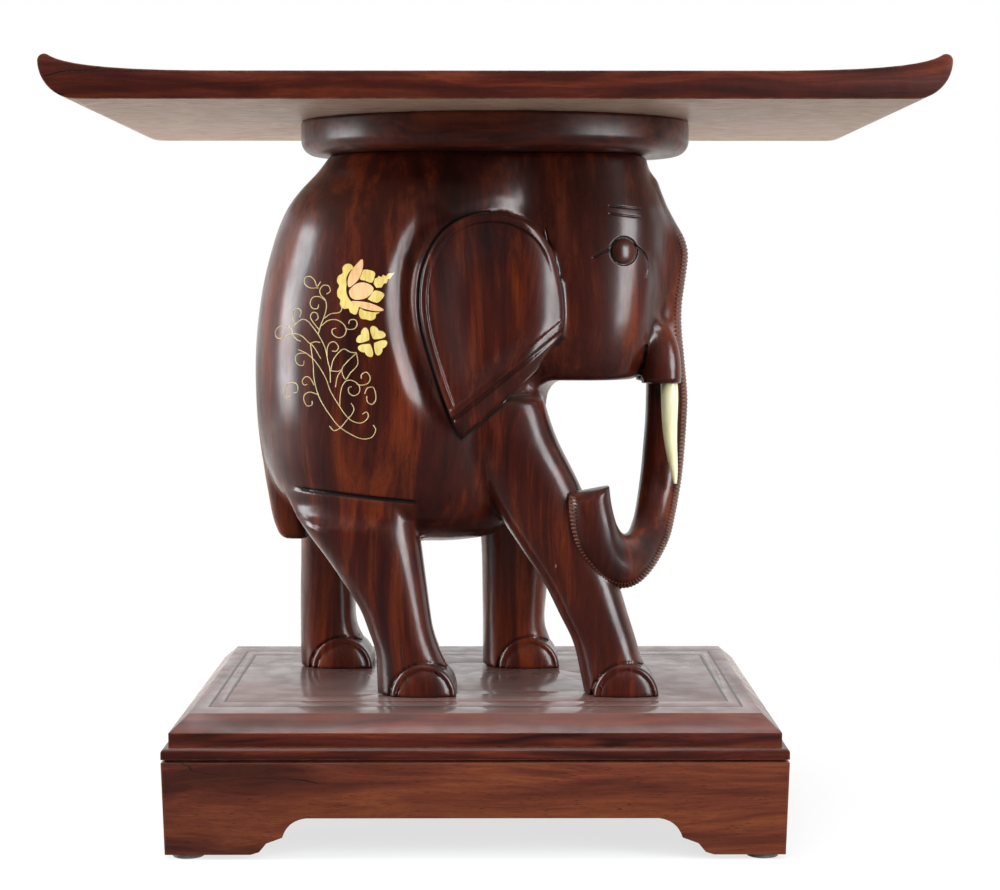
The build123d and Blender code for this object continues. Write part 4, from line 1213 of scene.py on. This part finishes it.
clouds = noise(g, stretched(g, mm, (1, 1, 0.55)), 0.013, 3, 0.55, 0.8)
joined(g, [
    (calc(g, "ADD", times(g, wide, 0.76), times(g, narrow, 0.24)), o["Figure"]),
    (noise(g, stretched(g, wandering, (1, 1, 0.03)), 1.5, 3, 0.6), o["Fibre"]),
    (between(g, pores, 0.60, 0.72), o["Pores"]), (between(g, clouds, 0.34, 0.64), o["Tone"])])
print("wood figure:", len(g.nodes), "nodes")

# %% Hairline cracks along the grain
crack_group, i, o = effect("hairline_cracks", [PLACE], [("Crack", "Float")])
g = crack_group
mm = in_mm(g, i["Place"])
line = noise(g, stretched(g, mm, (1, 1, 0.14), (7, 3, 0)), 0.03, 3, 0.5)
thin = between(g, calc(g, "ABSOLUTE", calc(g, "SUBTRACT", line, 0.5)), 0.0, 0.0035, 1.0, 0.0)
here = between(g, noise(g, stretched(g, mm, (1, 1, 0.5)), 0.014, 1), 0.60, 0.64)
g.links.new(times(g, thin, here), o["Crack"])

# %% Worn edges
wear_group, i, o = effect(
    "worn_edges", [PLACE, ("Reach", "Float", 0.0012), ("Start", "Float", 0.06)], [("Worn", "Float")])
g = wear_group
rounded = put(g, "Bevel", {"Radius": i["Reach"]}, samples=4).outputs["Normal"]
true = put(g, "NewGeometry").outputs["Normal"]
agree = put(g, "VectorMath", {0: rounded, 1: true}, operation="DOT_PRODUCT").outputs["Value"]
bend = between(g, calc(g, "SUBTRACT", 1.0, agree), i["Start"], calc(g, "ADD", i["Start"], 0.10))
patchy = between(g, noise(g, in_mm(g, i["Place"]), 0.11, 3, 0.65), 0.34, 0.60, 0.15, 1.0)
g.links.new(times(g, bend, patchy), o["Worn"])

# %% Nicks and specks
nick_group, i, o = effect("nicks", [PLACE], [("Nick", "Float")])
g = nick_group
mm = in_mm(g, i["Place"])
spot = put(g, "TexVoronoi", {"Vector": stretched(g, mm, (1, 1, 0.6)), "Scale": 0.055, "Randomness": 1.0})
chosen = between(g, put(g, "SeparateColor", {"Color": spot.outputs["Color"]}).outputs[0], 0.93, 0.95)
ragged = times(g, noise(g, mm, 1.1, 2, 0.6), 0.055)
inside_spot = between(g, calc(g, "SUBTRACT", spot.outputs["Distance"], ragged), 0.0, 0.02, 1.0, 0.0)
g.links.new(times(g, inside_spot, chosen), o["Nick"])

# %% Dust on what faces up, and polish worn thin
dust_group, i, o = effect(
    "dust_and_polish", [PLACE, ("Settled", "Float", 0.3)], [("Dust", "Float"), ("Polish", "Float")])
g = dust_group
mm = in_mm(g, i["Place"])
cloud = between(g, noise(g, mm, 0.02, 4, 0.6), 0.25, 0.75, 0.5, 1.0)
lying = times(g, between(g, faced(g, "Z"), 0.55, 1.0), cloud)
smears = noise(g, stretched(g, mm, (1, 1, 0.4)), 0.07, 4, 0.6)
joined(g, [(times(g, lying, i["Settled"]), o["Dust"]),
           (between(g, smears, 0.30, 0.68, 0.62, 1.0), o["Polish"])])

# %% Grime and painted shade in the recesses
grime_and_shade_group, i, o = effect("grime", [PLACE, ("Reach", "Float", 0.005)], [("Grime", "Float")])
g = grime_and_shade_group
# Painted shade: ambient occlusion darkens the creases and hollows where shade falls, together with the grime
# that gathers there.
open_sky = put(g, "AmbientOcclusion", {"Distance": i["Reach"]}, samples=6, only_local=True).outputs["AO"]
uneven = between(g, noise(g, in_mm(g, i["Place"]), 0.12, 3, 0.6), 0.2, 0.5, 0.5, 1.0)
g.links.new(times(g, between(g, open_sky, 0.35, 0.86, 1.0, 0.0), uneven), o["Grime"])
print("groups:", [group.name for group in bpy.data.node_groups])

# %% A board's or carving's rosewood
INTO_GRAIN = {"x": (0, radians(90), 0), "y": (radians(90), 0, 0), "z": (0, 0, 0)}
BLACK_DIRT_AND_SHADE = (0.006, 0.004, 0.004)
CRACK_BLACK = (0.004, 0.002, 0.002)
GRIME_AND_SHADE = (0.010, 0.006, 0.005)
BARE_WOOD = (0.42, 0.27, 0.18)
DUST = (0.30, 0.235, 0.215)
# Underside colours: raw wood, made paler as a painted reflection of the floor.
RAW_DARK_AND_SHEEN, RAW_PALE_AND_SHEEN = (0.33, 0.19, 0.13), (0.86, 0.62, 0.46)
COAT = 0.9              # how much of the surface the clear polish covers


def rosewood(name, grain, dark, mid, light, stripe=14.0, start=(0, 0, 0), settled=0.3,
             worn=(0.20, 0.07, 0.025), reach=0.0012, start_wear=0.012, rough=0.44, coat=0.22,
             waves=0.10, open_grain=1.0, shade=0.12, grime_and_shade=0.0, raw_and_sheen=0.0):
    """Dark figured wood under a thin clear polish, with its wear, painted shade in its recesses and cuts,
    and a painted sheen below where asked.
    """
    mat = bpy.data.materials.new(name)
    mat.use_nodes = True
    t = mat.node_tree
    shader = t.nodes["Principled BSDF"]
    own = put(t, "TexCoord").outputs["Object"]
    along = put(t, "Mapping", {"Vector": own, "Rotation": INTO_GRAIN[grain], "Location": start})
    along = along.outputs["Vector"]
    wood = placed(t, figure_group, Place=along, Stripe=stripe)
    crack = placed(t, crack_group, Place=along)["Crack"]
    edge = placed(t, wear_group, Place=own, Reach=reach, Start=start_wear)["Worn"]
    nick = placed(t, nick_group, Place=along)["Nick"]
    old = placed(t, dust_group, Place=own, Settled=settled)

    colour = shades(t, wood["Figure"], (0.35, dark), (0.50, mid), (0.64, light))
    clouded = times(t, calc(t, "SUBTRACT", 1.0, wood["Tone"]), shade)
    layers = [(clouded, dark), (times(t, wood["Tone"], shade * 0.35), light),
              (between(t, wood["Fibre"], 0.35, 0.65, 0.0, 0.28), dark),
              (times(t, wood["Pores"], 0.55), tuple(c * 0.35 for c in dark)),
              (times(t, edge, 0.75), worn), (crack, CRACK_BLACK)]
    if grime_and_shade:
        # Grime and painted shade darken the carving's recesses.
        grime_and_shade_mask = placed(t, grime_and_shade_group, Place=own)["Grime"]
        # Dirt and painted shade: the remembered cut depth paints the cuts nearly black.
        dirt_and_shade_in_cuts = put(t, "Attribute", attribute_name="cut_depth").outputs["Fac"]
        layers += [(times(t, grime_and_shade_mask, grime_and_shade), GRIME_AND_SHADE),
                   (between(t, dirt_and_shade_in_cuts, 0.12, 0.6, 0.0, 0.93), BLACK_DIRT_AND_SHADE)]
    layers += [(times(t, nick, 0.4), BARE_WOOD), (old["Dust"], DUST)]
    bare = nick
    # Down-facing faces are painted paler and lose polish: partly raw wood, partly a painted reflection of
    # the pale floor.
    if raw_and_sheen:
        below = between(t, faced(t, "Z"), -0.95, -0.6, raw_and_sheen, 0.0)
        layers.append((below, shades(t, wood["Fibre"], (0.36, RAW_DARK_AND_SHEEN), (0.56, RAW_PALE_AND_SHEEN))))
        bare = calc(t, "MAXIMUM", nick, times(t, below, 0.8))
    for amount, over in layers:
        colour = blend(t, amount, colour, over)
    t.links.new(colour, shader.inputs["Base Color"])

    dull = calc(t, "ADD", between(t, old["Polish"], 0.62, 1.0, rough + 0.10, rough),
                times(t, old["Dust"], 0.5))
    t.links.new(calc(t, "ADD", dull, times(t, edge, 0.12)), shader.inputs["Roughness"])
    left = calc(t, "SUBTRACT", COAT, times(t, bare, COAT))
    t.links.new(times(t, old["Polish"], left), shader.inputs["Coat Weight"])
    shader.inputs["Coat Roughness"].default_value = coat
    shader.inputs["Specular IOR Level"].default_value = 0.15

    height = times(t, noise(t, stretched(t, own, (1000, 1000, 600)), 0.075, 2, 0.5), waves)
    for part, rise in ((wood["Fibre"], 0.010 * open_grain), (wood["Pores"], -0.016 * open_grain),
                       (crack, -0.25), (nick, -0.12)):
        height = calc(t, "ADD", height, times(t, part, rise))
    bump = put(t, "Bump", {"Height": height, "Strength": 1.0, "Distance": MM}).outputs["Normal"]
    t.links.new(bump, shader.inputs["Normal"])
    return mat


CARVED = (0.014, 0.0013, 0.0008), (0.052, 0.0050, 0.0015), (0.165, 0.0245, 0.0038)
BOARD = (0.019, 0.0022, 0.0013), (0.066, 0.0076, 0.0030), (0.15, 0.024, 0.0060)
PLINTH = (0.019, 0.0022, 0.0013), (0.095, 0.0135, 0.0075), (0.19, 0.034, 0.012)
APRON = (0.052, 0.0105, 0.006), (0.175, 0.038, 0.018), (0.30, 0.078, 0.026)
MOULDED = dict(stripe=8.0, waves=0.01, open_grain=0.5)
SAWN = dict(stripe=17.0, settled=0.1, waves=0.01, reach=0.0015, open_grain=0.6)
carved_wood = rosewood("carved_wood", "z", *CARVED, stripe=15.0, settled=0.10, waves=0.16,
                       rough=0.46, grime_and_shade=0.85, start_wear=0.08, shade=0.28)
seat_wood = rosewood("seat_wood", "x", *BOARD, stripe=9.0, settled=0.35, waves=0.006, coat=0.28,
                     reach=0.0016, worn=(0.3, 0.12, 0.05), open_grain=0.4, raw_and_sheen=0.8)
saddle_wood = rosewood("saddle_wood", "x", *BOARD, stripe=9.0, start=(0.3, 0, 0.2), settled=0.2,
                       waves=0.03, open_grain=0.6, coat=0.3)
plinth_wood = rosewood("plinth_wood", "x", *PLINTH, stripe=11.0, start=(0.1, 0.2, 0), settled=0.42,
                       waves=0.003, coat=0.16, reach=0.0018, open_grain=0.1, rough=0.36)
moulding_x = rosewood("moulding_along", "x", *BOARD, start=(0.7, 0, 0), **MOULDED)
moulding_y = rosewood("moulding_across", "y", *BOARD, start=(0, 0.6, 0), **MOULDED)
apron_x = rosewood("apron_along", "x", *APRON, start=(0.4, 0, 0.1), **SAWN)
apron_y = rosewood("apron_across", "y", *APRON, start=(0, 0.4, 0.3), **SAWN)
print("rosewoods:", [m.name for m in bpy.data.materials if m.use_nodes])

# %% [markdown]
# ## Bone, shell, wire and small metal
# Bone and shell are pale and dense.  Faint streaks and clouds run through them, and bone lets a
# little light in.

# %% Pale inlay, metal and felt
def dense(mat, light, dark, scale, rough, length=(1, 1, 0.12), coat=0.25, metal=0.0, height=0.02):
    """A fine, even stuff with faint streaks and a matching bump."""
    mat.use_nodes = True
    t = mat.node_tree
    shader = t.nodes["Principled BSDF"]
    own = put(t, "TexCoord").outputs["Object"]
    mm = in_mm(t, own)
    streak = noise(t, stretched(t, mm, length), scale, 4, 0.6)
    cloud = noise(t, mm, scale * 0.22, 3, 0.5)
    both = calc(t, "ADD", times(t, streak, 0.6), times(t, cloud, 0.4))
    t.links.new(shades(t, both, (0.36, dark), (0.56, light)), shader.inputs["Base Color"])
    t.links.new(between(t, streak, 0.3, 0.7, rough + 0.1, rough - 0.05), shader.inputs["Roughness"])
    shader.inputs["Metallic"].default_value = metal
    shader.inputs["Coat Weight"].default_value = coat
    shader.inputs["Coat Roughness"].default_value = 0.15
    bump = put(t, "Bump", {"Height": times(t, both, height), "Distance": MM}).outputs["Normal"]
    t.links.new(bump, shader.inputs["Normal"])
    return mat


new_material = bpy.data.materials.new
GLOW = (("Subsurface Weight", 0.5), ("Subsurface Scale", 0.004), ("Subsurface Radius", (1.0, 0.85, 0.5)))
bone = dense(new_material("tusk_bone"), (1.0, 0.93, 0.60), (0.95, 0.82, 0.46), 0.5, 0.32)
for name, value in GLOW:
    bone.node_tree.nodes["Principled BSDF"].inputs[name].default_value = value
yellow = dense(new_material("yellow_shell"), (0.90, 0.70, 0.22), (0.74, 0.52, 0.12), 0.55, 0.36)
peach = dense(new_material("peach_shell"), (0.95, 0.61, 0.30), (0.80, 0.43, 0.18), 0.55, 0.36)
shell = dense(new_material("pale_shell"), (0.90, 0.73, 0.25), (0.74, 0.54, 0.14), 0.55, 0.36)
dense(brass, (0.72, 0.56, 0.26), (0.46, 0.33, 0.13), 0.8, 0.45, metal=0.1)
dense(nicked, (0.15, 0.042, 0.013), (0.035, 0.009, 0.004), 0.35, 0.5, coat=0.2, height=0.1)
steel = dense(new_material("screw_steel"), (0.52, 0.51, 0.49), (0.36, 0.35, 0.33), 0.9, 0.34,
              metal=1.0, coat=0.0)
felt = dense(new_material("glide_felt"), (0.26, 0.25, 0.24), (0.14, 0.135, 0.13), 1.4, 0.92,
             (1, 1, 1), 0.0, height=0.3)
ebony = dense(new_material("border_ebony"), (0.022, 0.010, 0.008), (0.008, 0.004, 0.003), 0.7, 0.4)
oak = dense(new_material("block_wood"), (0.42, 0.27, 0.14), (0.26, 0.15, 0.07), 0.35, 0.6,
            (0.1, 1, 1), 0.0, height=0.05)

# %% Every piece gets its finish
finish = {
    "seat_wood": seat_wood, "saddle_wood": saddle_wood, "carved_wood": carved_wood,
    "plinth_wood": plinth_wood, "moulding_wood": moulding_x, "apron_wood": apron_x, "block_wood": oak,
    "dowel_wood": oak,
    "tusk_bone": bone, "yellow_petal": yellow, "peach_petal": peach, "flower_shell": shell,
    "border_string": ebony, "screw_steel": steel, "glide_felt": felt,
}
across = {"cap_left": moulding_y, "cap_right": moulding_y, "apron_left": apron_y, "apron_right": apron_y}
for name, thing in nodes.items():
    mat = across.get(name, finish[slot_of[name]])
    for piece in (thing, boards.get(name), tiles.get(name)):
        if piece:
            piece.data.materials.clear()
            piece.data.materials.append(mat)
carving.data.materials.append(carved_wood)
print("finishes:", len(bpy.data.materials))

# %% [markdown]
# ## Studio
# Two tall soft boxes stand beside the stool, the left one square to it and the right one a
# little in front.  A dark room lies behind the camera and a white wall behind the stool, so
# the polish stays deep in the middle of each form and turns pale at its edges.  A weak lamp
# hangs over the camera and lights the wood without a reflection of its own.

# %% Lamps
COOL_WHITE = (0.94, 0.97, 1.0)
LOOK_AT = Vector((0, 0, 0.25))


def soft_box(name, place, size, watts):
    """A large rectangular lamp that looks at the middle of the stool."""
    data = bpy.data.lights.new(name, "AREA")
    data.shape = "RECTANGLE"
    data.size, data.size_y = size
    data.energy = watts
    data.color = COOL_WHITE
    lamp = bpy.data.objects.new(name, data)
    lamp.location = place
    lamp.rotation_euler = (LOOK_AT - Vector(place)).to_track_quat("-Z", "Y").to_euler()
    scene.collection.objects.link(lamp)
    return lamp


soft_box("left_box", (-2.1, -0.35, 0.75), (0.8, 1.8), 67)
soft_box("right_box", (1.65, -1.2, 0.75), (0.8, 1.8), 53)
soft_box("top_box", (0.0, -0.3, 2.4), (1.6, 1.2), 22)
fill = soft_box("fill", (-0.4, -2.3, 2.0), (2.0, 1.6), 37)
fill.visible_glossy = False

# %% The floor: white, with the stool's shadow, and a painted reflection
floor_mat = bpy.data.materials.new("white_floor")
floor_mat.use_nodes = True
t = floor_mat.node_tree
shader = t.nodes["Principled BSDF"]
shader.inputs["Roughness"].default_value = 0.8
shader.inputs["Specular IOR Level"].default_value = 0.1
place = put(t, "TexCoord").outputs["Object"]
away = put(t, "VectorMath", {0: place}, operation="LENGTH").outputs["Value"]
clean = between(t, away, 0.28, 0.75, 0.72, 1.0)
by_camera = put(t, "LightPath").outputs["Is Camera Ray"]
depth = put(t, "SeparateXYZ", {0: place}).outputs["Y"]
# Painted reflection and bounce: rays other than the camera's see the floor dark in front of the stool and
# warm pale behind it.
painted_floor_reflection = blend(t, between(t, depth, -0.25, 0.5), (0.08, 0.08, 0.08), (0.92, 0.85, 0.79))
t.links.new(blend(t, by_camera, painted_floor_reflection, (0.92, 0.92, 0.92)), shader.inputs["Base Color"])
seen = times(t, by_camera, clean)
white = put(t, "Emission", {"Color": (1, 1, 1, 1), "Strength": 1.0}).outputs["Emission"]
pick = put(t, "MixShader", {0: seen, 1: shader.outputs["BSDF"], 2: white})
t.links.new(pick.outputs["Shader"], t.nodes["Material Output"].inputs["Surface"])
corners = [(-4000, -3000, 0), (4000, -3000, 0), (4000, 5000, 0), (-4000, 5000, 0)]
floor = as_mesh("floor", corners, [(0, 1, 2, 3)], False)
floor.data.materials.append(floor_mat)

# %% The room: white behind the stool, dark behind the camera
world = bpy.data.worlds.new("room")
scene.world = world
world.use_nodes = True
t = world.node_tree
direction = put(t, "SeparateXYZ", {0: put(t, "TexCoord").outputs["Generated"]}).outputs
wall = between(t, direction["Y"], -0.1, 0.5, 0.03, 0.95)
ceiling = between(t, direction["Z"], 0.2, 0.9, 0.0, 0.25)
sky = t.nodes["Background"]
sky.inputs["Color"].default_value = (1, 1, 1, 1)
t.links.new(calc(t, "MAXIMUM", wall, ceiling), sky.inputs["Strength"])
bright = put(t, "Background", {"Color": (1, 1, 1, 1), "Strength": 1.0}).outputs["Background"]
by_camera = put(t, "LightPath").outputs["Is Camera Ray"]
pick = put(t, "MixShader", {0: by_camera, 1: sky.outputs["Background"], 2: bright})
t.links.new(pick.outputs["Shader"], t.nodes["World Output"].inputs["Surface"])

scene.view_settings.view_transform = "Standard"
